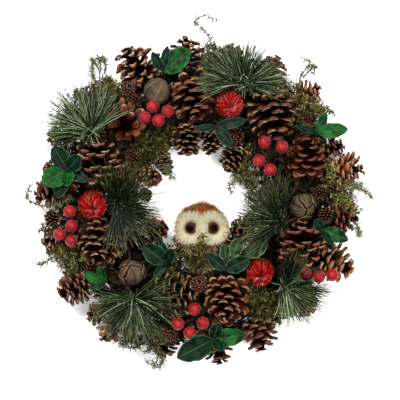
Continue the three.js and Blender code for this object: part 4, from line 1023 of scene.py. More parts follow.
def spray_needles(heap, node, hub, z, start, stop, share, pale, random):
    """The needles of a spray, and the paths that they follow."""
    number = BUNDLES * BUNDLE_NEEDLES
    middle, half = (start + stop) / 2, (stop - start) / 2
    fan = np.linspace(-1, 1, BUNDLES) + random.normal(0, 0.12, BUNDLES)
    bearing = np.repeat(middle + half * random.permutation(fan), BUNDLE_NEEDLES) + random.normal(0, 9, number)
    rise = np.repeat(random.beta(1.2, 1.8, BUNDLES) * RISE_SPAN + LOWEST_RISE, BUNDLE_NEEDLES)
    rise += random.normal(0, 8, number)
    size = np.repeat(random.uniform(0.66, 1.0, BUNDLES), BUNDLE_NEEDLES) * random.uniform(0.66, 1.12, number)
    length = NEEDLE_LENGTH * share * size
    foot = np.array([*hub, z], float) + direction(bearing, 0) * random.uniform(-2, 13, number)[:, None]
    foot += random.normal(0, 2.0, foot.shape)
    foot[:, 2] += random.uniform(-6, 5, number)
    short = random.uniform(0, 1, number) < SHORT_ONES
    bearing[short] = random.uniform(0, 360, short.sum())
    rise[short] = random.uniform(18, 70, short.sum())
    length[short] *= SHORT_SHARE
    sway = random.normal(0, 0.1, number)
    shy = random.uniform(0, 1, number) < SHY_ONES
    paths, blocked = raise_needles(node, foot, bearing, rise, length, sway, shy)
    keep = ~blocked & (paths[:, -1, 2] < TOP_LIMIT)
    light = np.repeat(random.uniform(0.55, 1.12, BUNDLES), BUNDLE_NEEDLES)[keep]
    # Painted shade: needles that lie lower are darker, as if shaded by those above them.
    light *= (0.68 + 0.5 * np.clip(rise / RISE_SPAN, 0, 1))[keep]
    paths = paths[keep]
    bold = random.uniform(0, 1, len(paths)) < 0.22
    radius = np.linspace(0.4, 0.2, NEEDLE_STEPS) * np.where(bold, BOLD, 1.0)[:, None]
    chance = (random.uniform(0, 0.85, len(paths)) + 0.35 * bold) * light * pale
    along = np.linspace(0, 1, NEEDLE_STEPS)
    heap.strands(paths, radius, radius, 3, joined(along, chance[:, None], along))
    return paths


def make_sprays():
    """Fans of pine needles, some of them frosted."""
    random = np.random.default_rng(31)
    for node, hub, z, start, stop, share, pale in SPRAYS:
        heap = Heap()
        paths = spray_needles(heap, node, hub, z, start, stop, share, pale, random)
        if node in FROSTED_SPRAYS:
            for place in paths[random.integers(0, len(paths), FROSTED_PLACES), 1]:
                grains(heap, place, 0.6, PLACE_GRAINS, 0.5, random, 2)
        stalk_top = np.array([*hub, z - SPRAY_HUB_DEPTH])
        heap.stick(seat_under(*hub), stalk_top, STALKS["spray"], 1, tip=STALK_END)
        heap.build(f"fine_{node}", [NEEDLE, BARK, FLECK], node)


def leaf_blade(heap, root, bearing, rise, length, width, slot, random):
    """A leaf that droops along its length, cups across it, and has a wavy, notched rim."""
    rows, columns = 17, 9
    along = np.linspace(0, 1, rows)[:, None]
    across = np.linspace(-1, 1, columns)[None]
    run = direction(bearing, rise)
    side, up = crosswise(run)
    phase = random.uniform(0, TAU)
    notches = 1 + 0.05 * np.sin(along * 21 + phase + 2 * np.sign(across))
    half = width * np.interp(along, *LEAF_OUTLINE) * notches
    droop, cup = -0.13 * length * along ** 2, 0.16 * half * np.abs(across) ** 1.5
    waves = (0.13 * half * across ** 2 * np.sin(along * 13 + phase + 2 * across)
             + 0.06 * half * np.abs(across) * np.sin(along * 23 + 2 * phase))
    lift = droop + cup + waves
    spine = root + run * (length * along)[..., None]
    top = spine + side * (half * across)[..., None] + up * lift[..., None]
    low = top - up * LEAF_THICKNESS * 0.8
    place = joined(along, across * 0.5 + 0.5, random.uniform(0, 1))
    loop = np.concatenate([top, low[:, ::-1]], 1)
    tones = np.concatenate([place, place[:, ::-1]], 1)
    heap.add(loop, leaf_net(rows, columns), tones, slot)


def leaf_net(rows, columns):
    """The two faces and the rim of a blade, whose every row goes over the top and back below."""
    sides = 2 * columns
    ends = []
    for k in range(columns - 1):
        a, b, c, d = k, k + 1, sides - 2 - k, sides - 1 - k
        ends += [[a, b, c], [a, c, d]]
    ends = np.array(ends)
    return np.concatenate([net(rows, sides)[:, ::-1], ends, ends[:, ::-1] + (rows - 1) * sides])


def leaf_trials(bearing, length, width, rise):
    """Where the solid leaf may stand, in the order that the part's source tries."""
    for share in (1, 0.84, 0.68):
        for turn in (0, 14, -14):
            for steeper in range(rise, STEEPEST_LEAF, RISE_STEP):
                yield bearing + turn, length * share, width * share, steeper


def leaf_points(root, bearing, rise, length, width):
    """The solid leaf's tip and the corners of its widest row, on its top face."""
    widest, half_width, row_droop, tip_droop = 0.34, 0.46, 0.12, 0.14
    run = direction(bearing, rise)
    side, up = crosswise(run)
    row = root + run * length * widest - up * length * row_droop * widest ** 2
    tip = root + run * length - up * length * tip_droop
    return [tip, row + side * half_width * width, row - side * half_width * width]


def make_leaves():
    """Leaves where the solid ones stand, each found by its tip and widest row."""
    random = np.random.default_rng(53)
    tolerance = 0.35
    for node, hub, z, leaves in LEAF_CLUSTERS:
        corners = np.array([vertex.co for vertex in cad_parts[node].data.vertices])
        corners = (corners - MIDDLE) / MM
        heap = Heap()
        colours = list(dict.fromkeys(leaf[4] for leaf in leaves))
        bark = len(colours)
        for step, (bearing, length, width, rise, colour, *stem) in enumerate(leaves):
            root = np.array([*hub, z - LEAF_STEP * step], float)
            for heading, long, wide, steep in leaf_trials(bearing, length, width, rise):
                base = root + direction(heading, steep) * sum(stem)
                wanted = leaf_points(base, heading, steep, long, wide)
                apart = [np.linalg.norm(corners - place, axis=1).min() for place in wanted]
                if max(apart) < tolerance:
                    leaf_blade(heap, base, heading, steep, long, wide, colours.index(colour), random)
                    if stem:
                        heap.stick(root, base, STALKS["leaf"], bark)
                    break
        foot = seat_under(*FEET.get(node, hub))
        heap.stick(foot, np.array([*hub, z]), STALKS["leaves"], bark, tip=STALK_END)
        heap.build(f"fine_{node}", [*(LEAF_MATERIALS[colour] for colour in colours), BARK], node)


def leaflets(heap, places, size, hue, light, random, slot=0):
    """Tiny three-cornered bits of moss or bark, turned at random, with a hue and a light each."""
    number = len(places)
    corners = np.array([[0, 0, 0], [0.55, 0.8, 0.1], [-0.5, 0.9, 0.0], [0.05, 0.6, -0.35]])
    faces = np.array([[0, 1, 2], [0, 3, 1], [0, 2, 3], [1, 3, 2]])
    run = unit(random.normal(0, 1, (number, 3)) + [0, 0, 0.5])
    side = unit(np.cross(run, random.normal(0, 1, (number, 3))))
    axes = np.stack([side, run, np.cross(side, run)], -1)
    sizes = size * random.uniform(0.6, 1.3, number)[:, None, None]
    placed = np.einsum("kij,knj->kni", axes, corners * sizes) + places[:, None]
    tones = joined(light, random.uniform(0, 1, number), hue)[:, None]
    tones = np.broadcast_to(tones, placed.shape)
    faces = faces + np.arange(number)[:, None, None] * len(corners)
    heap.add(placed, faces, tones, slot)


def tufts(heap, centres, size, hue, shade, random, strands=6, bits=4, bit=1.9, thick=0.44):
    """Tangled tufts of moss, each with its own hue and shade: curling stems with bits along them."""
    steps, floor = 4, 1.5
    hue = np.repeat(np.clip(hue + random.normal(0, 0.24, len(centres)), 0, 1), strands)
    shade = np.repeat(shade, strands)
    centres = np.repeat(centres, strands, 0)
    number = len(centres)
    heading = unit(random.normal(0, 1, (number, 3)) + [0, 0, 0.6])
    curl = random.normal(0, 0.7, (number, 3))
    paths = [centres + random.normal(0, size * 0.25, (number, 3))]
    for _ in range(steps - 1):
        heading = unit(heading + np.cross(heading, curl) + random.normal(0, 0.3, (number, 3)))
        paths.append(paths[-1] + heading * size / (steps - 1))
    paths = np.stack(paths, 1)
    keep = (clear_of_balls(paths) & (paths[..., 2] > floor) & clear_of_ring(paths)).all(1)
    keep &= outside_cones(paths, SOFT_SHARE).all(1)
    if not keep.any():
        return
    paths, hue, shade = paths[keep], hue[keep], shade[keep]
    number = len(paths)
    # Painted shade: this tone darkens each stem towards its base, inside the tuft.
    rise = np.linspace(0.3, 1, steps)
    radius = np.linspace(thick, thick * 0.55, steps)
    chance = random.uniform(0, 1, number)
    glow = shade * random.uniform(0.4, 1.3, number)
    heap.strands(paths, radius, radius, 3, joined(rise * glow[:, None], chance[:, None], hue[:, None]))
    which = random.integers(0, steps - 1, (number, bits))
    share = random.uniform(0, 1, (number, bits, 1))
    rows = np.arange(number)[:, None]
    places = paths[rows, which] * (1 - share) + paths[rows, which + 1] * share
    # Painted shade: bits lower on a stem are darker.
    light = (0.3 + 0.7 * (which + share[..., 0]) / (steps - 1)) * glow[:, None]
    leaflets(heap, places.reshape(-1, 3), bit, np.repeat(hue, bits), light.ravel(), random)


def make_moss():
    """Clumps of moss, each of several balls of tufts on a stalk."""
    random = np.random.default_rng(61)
    for name, hue, light, balls in MOSS:
        heap = Heap()
        for x, y, radius, height in balls:
            number = int(radius ** 2 * MOSS_DENSITY)
            across = radius * PIXEL * np.sqrt(random.uniform(0, 1, number))
            turn = random.uniform(0, TAU, number)
            crown = 1 - (across / (radius * PIXEL)) ** 2
            sunk = random.uniform(0, 1, number) ** 1.4
            level = height - MOSS_DOME * (1 - crown) - MOSS_DEPTH * sunk + MOSS_RISE
            centres = from_photo(x, y, 0) + joined(across * np.cos(turn), across * np.sin(turn), level)
            # Painted shade: tufts sunk deeper in a ball are darker.
            shade = light * (1 - 0.7 * sunk) * random.uniform(0.45, 1.0, number)
            tufts(heap, centres, TUFT_SIZE, hue, shade, random)
            middle = from_photo(x, y, height - MOSS_HEART)
            if clear_of_balls(middle):
                heap.stick(seat_under(*middle[:2]), middle, STALKS["moss"], 1)
        heap.build(name, [MOSS_FIBRE, BARK])


def room_for_chip(places):
    """Whether a bark chip at each place would stay clear of the round pieces, the ring and the floor."""
    margin, floor = 0.4 * CHIP, 0.6 * CHIP
    apart = np.linalg.norm(places[..., None, :] - KEPT_AT, axis=-1)
    reach, level = np.hypot(places[..., 0], places[..., 1]), places[..., 2]
    off_ring = (reach > RING_OUTER + margin) | (reach < RING_INNER - margin) | (level > SEAT + margin)
    return (apart > KEPT_RADIUS + CHIP).all(-1) & off_ring & (level > floor)


def bed_twigs(heap, step, random):
    """Thin twigs that follow both sides of the ring through one quarter."""
    steps, span, floor = 9, 0.26, 1.5
    turn = (step + random.uniform(0, 1, BED_TWIGS)[:, None] + np.linspace(0, span, steps)) * TAU / 4
    outside = random.uniform(0, 1, BED_TWIGS) < 0.7
    reach = np.where(outside, random.uniform(RING_OUTER + 1, RING_OUTER + 10, BED_TWIGS),
                     random.uniform(RING_INNER - 6, RING_INNER - 1, BED_TWIGS))
    wave = random.uniform(0, TAU, (BED_TWIGS, 1))
    reach = reach[:, None] + 1.4 * np.sin(np.linspace(0, 5, steps) + wave)
    level = random.uniform(3, 26, BED_TWIGS)[:, None] + 2 * np.cos(np.linspace(0, 6, steps) + wave)
    paths = joined(reach * np.cos(turn), reach * np.sin(turn), level)
    keep = (clear_of_balls(paths) & clear_of_ring(paths) & (paths[..., 2] > floor)).all(1)
    radius = np.linspace(1.4, 0.8, steps)
    heap.strands(paths[keep], radius, radius, 3, TWIG_TONE, slot=1)


def make_bed():
    """Moss painted dark as the shade between the pieces, bark chips and twigs on the ring's top and beside
    it, a piece for each quarter.
    """
    random = np.random.default_rng(67)
    for step, name in enumerate(("bed_upper_right", "bed_upper_left", "bed_lower_left", "bed_lower_right")):
        heap = Heap()
        for number, chips, inner, outer, low, high in BED_BANDS:
            turn = (step + random.uniform(0, 1, number + chips)) * TAU / 4
            across = random.uniform(inner, outer, number + chips)
            level = random.uniform(low, high, number + chips)
            centres = joined(across * np.cos(turn), across * np.sin(turn), level)
            # Painted shade: the bed's moss gets a very low light, so that it darkens the gaps between the
            # pieces.
            light = random.uniform(0.05, 0.3, number)
            tufts(heap, centres[:number], 12.0, 0.1, light, random, strands=3, bits=3, bit=4.4, thick=0.8)
            chipped = centres[number:]
            chipped = chipped[outside_cones(chipped, STIFF_SHARE) & room_for_chip(chipped)]
            leaflets(heap, chipped, CHIP, 0.1, 0.5, random, 1)
        bed_twigs(heap, step, random)
        heap.build(name, [MOSS_FIBRE, BARK])


def wisp(heap, path, random, shoot_count, hue=0.55):
    """A fine stem with side shoots and bits."""
    steps = len(path)
    radius = np.linspace(0.9, 0.35, steps)
    heap.strands(path[None], radius, radius, 4, (0.6, 0.4, hue))
    stem = path[steps // 4:]
    starts = stem[random.integers(0, len(stem), shoot_count)]
    heading = unit(random.normal(0, 1, (shoot_count, 3)) * [1, 1, 0.7])
    length = random.uniform(2.5, 7.0, shoot_count)[:, None]
    bow = random.normal(0, 1.2, (shoot_count, 3))
    paths = np.stack([starts, starts + heading * length * 0.5 + bow * 0.5, starts + heading * length], 1)
    radius = np.array([0.3, 0.26, 0.2])
    chance = random.uniform(0, 1, shoot_count)
    heap.strands(paths, radius, radius, 3, joined(0.7, chance[:, None], hue))
    ends = np.concatenate([paths[:, 1], paths[:, 2], paths[:, 2] + random.normal(0, 0.8, starts.shape)])
    leaflets(heap, ends, 1.3, hue, random.uniform(0.4, 1, len(ends)), random)


def make_sprigs():
    """The moss sprigs, and the finer wisps that stand out of the clumps."""
    random = np.random.default_rng(43)
    for node, points in SPRIGS:
        heap = Heap()
        wisp(heap, smooth_path(points, 30), random, 170)
        heap.build(f"fine_{node}", [PALE_MOSS], node)
    for name, points, height in WISPS:
        heap = Heap()
        foot = from_photo(*points[0], height - WISP_SUNK)
        path = smooth_path([foot, *(from_photo(x, y, height) for x, y in points[1:])], 12)
        wisp(heap, path, random, 76)
        heap.build(name, [PALE_MOSS])


# Berries, balls and pods.

# How far below its berries the wires of a bunch part, and grains of frost on a berry.
HUB_DEPTH, BERRY_GRAINS = 14, 130
# A red ball: how far its core lies under its radius, strands that run down it, tufts that stand out of it,
# and the rise of its pole.
BALL_CORE_DEPTH, BALL_STRANDS, BALL_TUFTS, POLE_RISE = 3.2, 230, 520, 68
# How far under a pod's radius its body and its flaps lie, and the share of it that a crack is deep.
POD_DEPTH, FLAP_DEPTH, CRACK_DEPTH = 1.4, 1.5, 0.14


def globe(rows, sides):
    """A unit ball as a closed net with small flat poles, and its points' polar angle and turn."""
    pole = 0.02
    polar = np.linspace(pole, math.pi - pole, rows)[:, None]
    turn = np.arange(sides) / sides * TAU
    polar, turn = np.broadcast_arrays(polar, turn)
    points = joined(np.sin(polar) * np.cos(turn), np.sin(polar) * np.sin(turn), -np.cos(polar))
    return points, closed_net(rows, sides), polar, turn


def grains(heap, centre, radius, number, size, random, slot):
    """Grains of frost on a ball: tiny pyramids that stand on its skin."""
    sunk = 0.1
    out = unit(random.normal(0, 1, (number, 3)))
    side = unit(np.cross(out, random.normal(0, 1, (number, 3))))
    axes = np.stack([side, np.cross(out, side), out], -1)
    corners = np.array([[1, 0, 0], [-0.5, 0.86, 0], [-0.5, -0.86, 0], [0, 0, 1.0]])
    faces = np.array([[0, 2, 1], [0, 1, 3], [1, 2, 3], [2, 0, 3]])
    shape = corners, faces, np.ones_like(corners)
    sizes = np.repeat((size * random.uniform(0.6, 1.4, number))[:, None], 3, 1)
    heap.repeat(shape, axes, centre + out * (radius - sunk), sizes, random.uniform(0, 1, number), slot)


def make_berries():
    """Slightly uneven frosted berries on wires."""
    random = np.random.default_rng(71)
    points, triangles, polar, turn = globe(20, 28)
    for node, foot, places, z in BERRY_BUNCHES:
        heap = Heap()
        hub = np.array([*foot, z - HUB_DEPTH], float)
        heap.stick(np.array([*foot, SEAT]), hub, STALKS["berries"], 2)
        for x, y in places:
            at = np.array([x, y, z], float)
            uneven = 1 + 0.012 * np.sin(3 * turn + 5 * polar) + 0.006 * random.normal(0, 1, turn.shape)
            ball = at + points * (BERRY_RADIUS * 0.985 * uneven)[..., None]
            heap.add(ball, triangles, (0.5, 0.5, 0.5))
            grains(heap, at, BERRY_RADIUS, BERRY_GRAINS, 0.24, random, 1)
            heap.stick(hub, at, STALKS["berry"], 2)
        heap.build(f"fine_{node}", [BERRY, FROST, BARK], node)


def ball_strands(heap, at, radius, pole, random):
    """Flat strands that start near the pole of a ball and arch down its sides."""
    steps = 6
    share = np.linspace(0, 1, steps)
    out = spokes(*crosswise(pole), random.uniform(0, TAU, BALL_STRANDS))
    first = random.uniform(0.03, 0.5, BALL_STRANDS)
    last = first + random.uniform(0.5, 1.2, BALL_STRANDS)
    polar = first[:, None] + (last - first)[:, None] * share
    arch = 2.4 * np.sin(share * math.pi * 0.62) - 2.6
    bulge = radius + arch + random.uniform(-0.6, 0.4, BALL_STRANDS)[:, None]
    away = pole * np.cos(polar)[..., None] + out[:, None] * np.sin(polar)[..., None]
    chance = random.uniform(0, 1, BALL_STRANDS)
    depth = np.linspace(0.15, 1, steps)
    wide = np.linspace(0.5, 0.75, steps)
    heap.strands(at + away * bulge[..., None], wide, wide * 0.6, 3, joined(depth, chance[:, None], depth))


def ball_tufts(heap, at, radius, pole, random):
    """Short strands that stand out all over a ball and swirl about its pole."""
    steps, sunk, farthest = 4, 3.4, 1.2
    out = unit(random.normal(0, 1, (BALL_TUFTS, 3)))
    swirl = unit(np.cross(out, pole) + out * 0.4 + random.normal(0, 0.5, (BALL_TUFTS, 3)))
    length = random.uniform(2.0, 4.2, BALL_TUFTS)[:, None]
    share = np.linspace(0, 1, steps)
    roots = at + out * (radius - sunk)
    paths = np.stack([roots + out * length * s + swirl * length * 0.6 * s ** 2 for s in share], 1)
    reach = np.linalg.norm(paths - at, axis=-1, keepdims=True)
    paths = at + (paths - at) * np.minimum(1, (radius + farthest) / reach)
    chance = random.uniform(0, 1, BALL_TUFTS)
    wide, thick = np.linspace(0.5, 0.24, steps), np.linspace(0.4, 0.2, steps)
    heap.strands(paths, wide, thick, 3, joined(share, chance[:, None], 0.2 + 0.7 * share))


def make_balls():
    """Red balls of glossy strands round a core painted dark, a painted shade inside the ball."""
    random = np.random.default_rng(83)
    points, triangles, _, _ = globe(18, 24)
    for node, x, y, z, radius, lean in BALLS:
        heap = Heap()
        at = np.array([x, y, z], float)
        pole = direction(lean, POLE_RISE)
        # The core's low depth tone paints it dark, as the shade under the strands.
        heap.add(at + points * (radius - BALL_CORE_DEPTH), triangles, (0, 0.2, 0.15))
        ball_strands(heap, at, radius, pole, random)
        ball_tufts(heap, at, radius, pole, random)
        heap.stick(seat_under(x, y), at, STALKS["ball"], 1)
        heap.build(f"fine_{node}", [FOIL, BARK], node)


def pod_cracks(polar, turn, cracks, phase):
    """How far a pod is opened, and how torn beside its cracks, by polar angle and turn."""
    degrees_a_radian = 57
    bearing = np.degrees(turn)
    opened, torn = np.zeros(turn.shape), np.zeros(turn.shape)
    fading = np.clip(2.2 - polar, 0, 1)
    for crack in cracks:
        middle = crack + 16 * np.sin(1.3 * polar + phase) + 5 * np.sin(5 * polar)
        apart = np.abs((bearing - middle + 180) % 360 - 180) * np.sin(polar) / degrees_a_radian
        opened = np.maximum(opened, np.exp(-(apart / 0.075) ** 2) * fading)
        torn = np.maximum(torn, np.exp(-((apart - 0.16) / 0.05) ** 2) * fading)
    return opened, torn


def make_pods():
    """Seed pods with streaked, cracked husks, some of them with flaps."""
    random = np.random.default_rng(97)
    points, triangles, polar, turn = globe(40, 80)
    streaks = (3, 7, 12, 19, 31)
    for node, x, y, z, radius, flaps, pole_bearing, pole_rise, cracks in PODS:
        heap = Heap()
        at = np.array([x, y, z], float)
        pole = -direction(pole_bearing, pole_rise)
        side, up = crosswise(pole)
        phase = random.uniform(0, TAU, len(streaks))
        opened, torn = pod_cracks(polar, turn, cracks, phase[0])
        bend = 1.2 * np.sin(2 * polar)
        streak = 0.66 + 0.1 * sum(np.sin(k * turn + start + bend) for k, start in zip(streaks, phase))
        lump = 0.015 * np.sin(5 * turn + 3 * polar) + 0.012 * np.sin(9 * polar - 2 * turn) + 0.01 * streak
        reach = (radius - POD_DEPTH) * (1 + lump - CRACK_DEPTH * opened)
        body = points @ np.array([side, up, pole])
        heap.add(at + body * reach[..., None], triangles, joined(opened, streak, torn * 0.9))
        for flap in flaps:
            husk_flap(heap, at, radius - FLAP_DEPTH, flap)
        heap.stick(seat_under(x, y), at, STALKS["pod"], 1)
        heap.build(f"fine_{node}", [HUSK, BARK], node)


def husk_flap(heap, at, radius, bearing):
    """A curved flap of husk that stands off the pod."""
    rows, columns = 14, 11
    share = np.linspace(0, 1, rows)[:, None]
    across = np.linspace(-1, 1, columns)[None]
    rise = -60 + 108 * share
    spread = np.interp(share, [0, 0.35, 0.75, 1], [24, 34, 28, 5])
    reach = radius * (1.03 + 0.16 * share ** 1.6)
    inner = direction(bearing + spread * across, rise) * reach[..., None]
    outer = inner * (1 + (1.3 - 0.5 * np.abs(across)) / reach)[..., None]
    loop = at + np.concatenate([outer, inner[:, ::-1]], 1)
    margin = np.clip((np.abs(across) - 0.72) * 4, 0, 1) * np.ones_like(share)
    outside = joined(0, 0.5, np.maximum(margin, np.clip(share * 6 - 5, 0, 1)))
    # The inner face's high edge tone paints it dark, a painted shade facing the pod.
    inside = joined(0.7, 0.3, margin)
    tones = np.concatenate([outside, inside], 1)
    heap.add(loop, leaf_net(rows, columns)[:, ::-1], tones)


# The owl.

# How far the roots of its fur lie under the skin, and the fibres of head, body and each face disc.
FUR_DEPTH = 3.4
HEAD_FIBRES, BODY_FIBRES, DISC_FIBRES = 2300, 1100, 820
# The slots of the owl's materials.
FACE_SLOT, RUST_SLOT, BODY_SLOT, EYE_SLOT = 0, 1, 2, 3


def fur(heap, roots, out, lean, length, random, slot, radius=0.36):
    """Short stiff fibres that leave a surface along out and bend towards lean."""
    number, steps = len(roots), 4
    length = length * random.uniform(0.65, 1.25, number)[:, None]
    bend = unit(lean + random.normal(0, 0.35, (number, 3)))
    share = np.linspace(0, 1, steps)
    paths = np.stack([roots + out * length * s + bend * length * 0.8 * s ** 1.6 for s in share], 1)
    chance = random.uniform(0, 1, number)
    radii = np.linspace(radius, radius * 0.4, steps)
    heap.strands(paths, radii, radii * 0.8, 3, joined(share, chance[:, None], share), slot=slot)


def owl_core(heap):
    """The balls under the fur, painted dark as the shade beneath it, and the stalk."""
    under = 3
    points, triangles, _, _ = globe(30, 40)
    # Painted shade: the low edge tone gives the balls mostly the fibres' root colour.
    dark = (0.2, 0.3, 0.3)
    heap.add(OWL_HEAD + points * (OWL["head"] - under), triangles, dark, RUST_SLOT)
    heap.add(OWL_BODY + points * (OWL["body"] - under), triangles, dark, BODY_SLOT)
    foot = np.array([OWL["x"], -SEAT_INNER - 3, SEAT])
    heap.stick(foot, OWL_BODY, STALKS["owl"], BODY_SLOT, tone=(0.5, 0.3, 0.3))


def owl_fur(heap, random):
    """Long fur round the face, shorter fur on the crown, and the fur of the body."""
    out = unit(random.normal(0, 1, (HEAD_FIBRES, 3)) * [1, 1, 0.8])
    out = out[(out[:, 2] > -0.3) | (random.uniform(0, 1, len(out)) < 0.5)]
    crown = out[(out[:, 2] < 0.66) | (out[:, 1] > 0.55)]
    top = (crown[:, 1] > 0.1) | (np.abs(crown[:, 0]) > 0.75)
    cheek = out[(out[:, 2] > 0.4) & (out[:, 2] < 0.72)]
    upper = cheek[:, 1] > -0.3
    skin = OWL["head"] - FUR_DEPTH
    for part, slot in ((cheek[upper], RUST_SLOT), (cheek[~upper], BODY_SLOT)):
        fur(heap, OWL_HEAD + part * skin, part, np.array([0, 0, 0.9]), 8.0, random, slot, radius=0.5)
    for part, slot in ((crown[top], RUST_SLOT), (crown[~top], BODY_SLOT)):
        fur(heap, OWL_HEAD + part * skin, part, np.array([0, -0.5, 0.2]), 3.0, random, slot)
    out = unit(random.normal(0, 1, (BODY_FIBRES, 3)))
    out = out[out[:, 1] < 0.6]
    roots = OWL_BODY + out * (OWL["body"] - FUR_DEPTH)
    fur(heap, roots, out, np.array([0, -1.0, 0.2]), 3.0, random, BODY_SLOT)


def owl_beak(heap):
    """A beak that hooks down as it comes forward."""
    beak = OWL_HEAD + [0, -6, OWL["head"] * 0.94]
    share = np.linspace(0, 1, 7)
    path = beak + joined(0, -4.4 * share ** 2, 6 * share)
    thick = 3.0 * (1 - share ** 2) + 0.3
    heap.strands(path[None], thick * 0.8, thick, 8, (0.5, 0.2, 0.5), slot=BODY_SLOT)


def make_owl():
    """The owl: two furred balls, a face of two discs with eyes, and a beak."""
    random = np.random.default_rng(101)
    heap = Heap()
    owl_core(heap)
    owl_fur(heap, random)
    for side in (-1, 1):
        face_disc(heap, side, random)
    owl_beak(heap)
    heap.build("fine_owl", [CREAM, RUST, BEIGE, EYE], "owl")


def face_disc(heap, side, random):
    """A dish of fibres that radiate from a domed eye."""
    front = direction(0 if side > 0 else 180, 76)
    middle = OWL_HEAD + [side * OWL["head"] * 0.37, 0, OWL["head"] * 0.8]
    level, up = crosswise(front)
    points, triangles, _, _ = globe(16, 32)
    dish = (points[..., :1] * level + points[..., 1:2] * up) * OWL["disc"] * 0.8 + front * points[..., 2:] * 3
    heap.add(middle + dish, triangles, (0.7, 0.5, 0.5), FACE_SLOT)
    steps = 5
    share = np.linspace(0, 1, steps)
    out = spokes(level, up, random.uniform(0, TAU, DISC_FIBRES))
    start = OWL["eye"] * random.uniform(0.7, 1.7, DISC_FIBRES)
    stop = OWL["disc"] * random.uniform(0.8, 1.05, DISC_FIBRES)
    reach = start[:, None] + (stop - start)[:, None] * share
    arch = 1.6 * np.sin(share * math.pi * 0.8) - 1.6 * (reach / OWL["disc"]) ** 3
    lift = 2.6 + random.uniform(-0.5, 1.4, DISC_FIBRES)[:, None] + arch
    paths = middle + out[:, None] * reach[..., None] + front * lift[..., None]
    chance = random.uniform(0, 1, DISC_FIBRES)
    paleness = np.clip((reach - OWL["eye"] * 0.9) / (OWL["disc"] * 0.34), 0, 1)
    wide, thick = np.array([0.38, 0.47, 0.47, 0.38, 0.18]), np.array([0.3, 0.3, 0.3, 0.25, 0.12])
    heap.strands(paths, wide, thick, 3, joined(paleness, chance[:, None], share), slot=FACE_SLOT)
    eye, faces, polar, _ = globe(20, 28)
    dome = eye[..., :1] * level + eye[..., 1:2] * up
    place = middle + dome * OWL["eye"] + front * (3.6 + eye[..., 2:] * OWL["eye"] * 0.5)
    heap.add(place, faces, joined(np.sin(polar), 0, 0), EYE_SLOT)


# The ring.

# Turns of the wire that binds it.
WIRE_TURNS = 44


def ring_section():
    """The corners of the ring's section, by radius and height, and how far round it each of them is."""
    outer, inner, half = RING_OUTER - RING_CHAMFER, RING_INNER + RING_CHAMFER, RING_HEIGHT / 2
    profile = np.array([(RING_OUTER, half), (outer, RING_HEIGHT), (inner, RING_HEIGHT), (RING_INNER, half),
                        (inner, 0), (outer, 0), (RING_OUTER, half)], float)
    return profile, np.concatenate([[0], np.cumsum(np.linalg.norm(np.diff(profile, axis=0), axis=1))])


def make_ring():
    """Straw bundles laid round in a ring, bound with wire."""
    heap = Heap()
    rows, sides = 250, 38
    turn = (np.arange(rows) / rows * TAU)[:, None]
    section = (np.arange(sides) / sides * TAU)[None]
    profile, walk = ring_section()
    middle, half = (RING_INNER + RING_OUTER) / 2, RING_HEIGHT / 2
    at = section / TAU * walk[-1]
    across, height = np.interp(at, walk, profile[:, 0]), np.interp(at, walk, profile[:, 1])
    # Strands is high on each strand's crest and low in the grooves between them; the straw material paints
    # shade into the grooves by it.
    strands = np.abs(np.sin(section * 17 + turn * 9)) ** 0.7
    shrink = 0.3 + 1.1 * (1 - strands) + 0.3 * np.abs(np.sin(turn * 31 + section * 5))
    reach = middle + (across - middle) * (1 - shrink / 30)
    level = half + (height - half) * (1 - shrink / 14)
    chance = 0.5 + 0.5 * np.sin(section * 40 + turn * 3) * np.sin(turn * 13)
    points, tone = joined(reach * np.cos(turn), reach * np.sin(turn), level), joined(strands, chance, 0)
    faces = net(rows + 1, sides) % (rows * sides)
    heap.add(points, faces[:, ::-1], tone)
    round_ring = np.linspace(0, 1, 900, endpoint=False)
    at = (round_ring * WIRE_TURNS % 1) * walk[-1]
    reach, height = np.interp(at, walk, profile[:, 0]), np.interp(at, walk, profile[:, 1])
    level = half + (height - half) * 0.96
    path = joined(reach * np.cos(round_ring * TAU), reach * np.sin(round_ring * TAU), level)
    heap.strands(path[None], 0.4, 0.4, 4, (0.1, 0.1, 0), slot=1)
    heap.build("fine_base_ring", [STRAW, BARK], "base_ring")


# The scene.

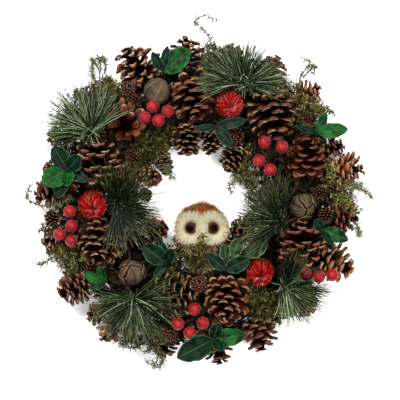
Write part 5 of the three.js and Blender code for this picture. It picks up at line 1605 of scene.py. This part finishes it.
def lamp(name, offset, size, watts):
    """A round lamp that faces the middle of the wreath from an offset, in metres."""
    data = bpy.data.lights.new(name, "AREA")
    data.shape, data.size, data.energy = "DISK", size, watts
    light = bpy.data.objects.new(name, data)
    light.location = MIDDLE + offset
    light.rotation_euler = Vector(offset).to_track_quat("Z", "Y").to_euler()
    bpy.context.scene.collection.objects.link(light)


def make_floor():
    """A pale floor, in metres, just below the wreath."""
    just_below, size = 0.0005, 6
    bpy.ops.mesh.primitive_plane_add(size=size, location=(*MIDDLE[:2], -just_below))
    floor = bpy.context.object
    floor.name = "floor"
    shader = Shader("pale_floor", Roughness=0.9)
    white = (1, 1, 1, 1)
    shader.set("Base Color", shader.ramp(shader.noise(4, 2), (0.3, 0.9), (0.7, 0.93)))
    shader.set("Emission Color", white)
    shader.set("Emission Strength", FLOOR_GLOW)
    floor.data.materials.append(shader.material)


def make_camera():
    """A camera straight above, high enough to see as much as the photo does."""
    cones_height = 0.045
    lens = bpy.data.cameras.new("camera")
    lens.lens, lens.sensor_width = 135, 36
    camera = bpy.data.objects.new("camera", lens)
    height = cones_height + PHOTO_WIDTH * PIXEL * MM * lens.lens / lens.sensor_width
    offset = (PHOTO_MIDDLE[1] - PHOTO_WIDTH / 2) * PIXEL * MM
    camera.location = (MIDDLE[0], MIDDLE[1] + offset, height)
    bpy.context.scene.collection.objects.link(camera)
    bpy.context.scene.camera = camera


def make_stage():
    """The floor, the lights and the camera."""
    make_floor()
    lamp("key", (-0.5, 0.8, 1.7), 0.6, 62)
    lamp("front", (0.7, -0.3, 2.0), 1.0, 38)
    world = bpy.data.worlds.new("studio")
    world.use_nodes = True
    background = world.node_tree.nodes["Background"]
    background.inputs["Color"].default_value = (1, 1, 1, 1)
    background.inputs["Strength"].default_value = 0.36
    bpy.context.scene.world = world
    bpy.context.scene.view_settings.view_transform = "Standard"
    make_camera()


make_stage()
make_ring()
make_cones()
make_small_cones()
make_berries()
make_balls()
make_pods()
make_owl()
make_leaves()
make_sprays()
make_moss()
make_bed()
make_sprigs()
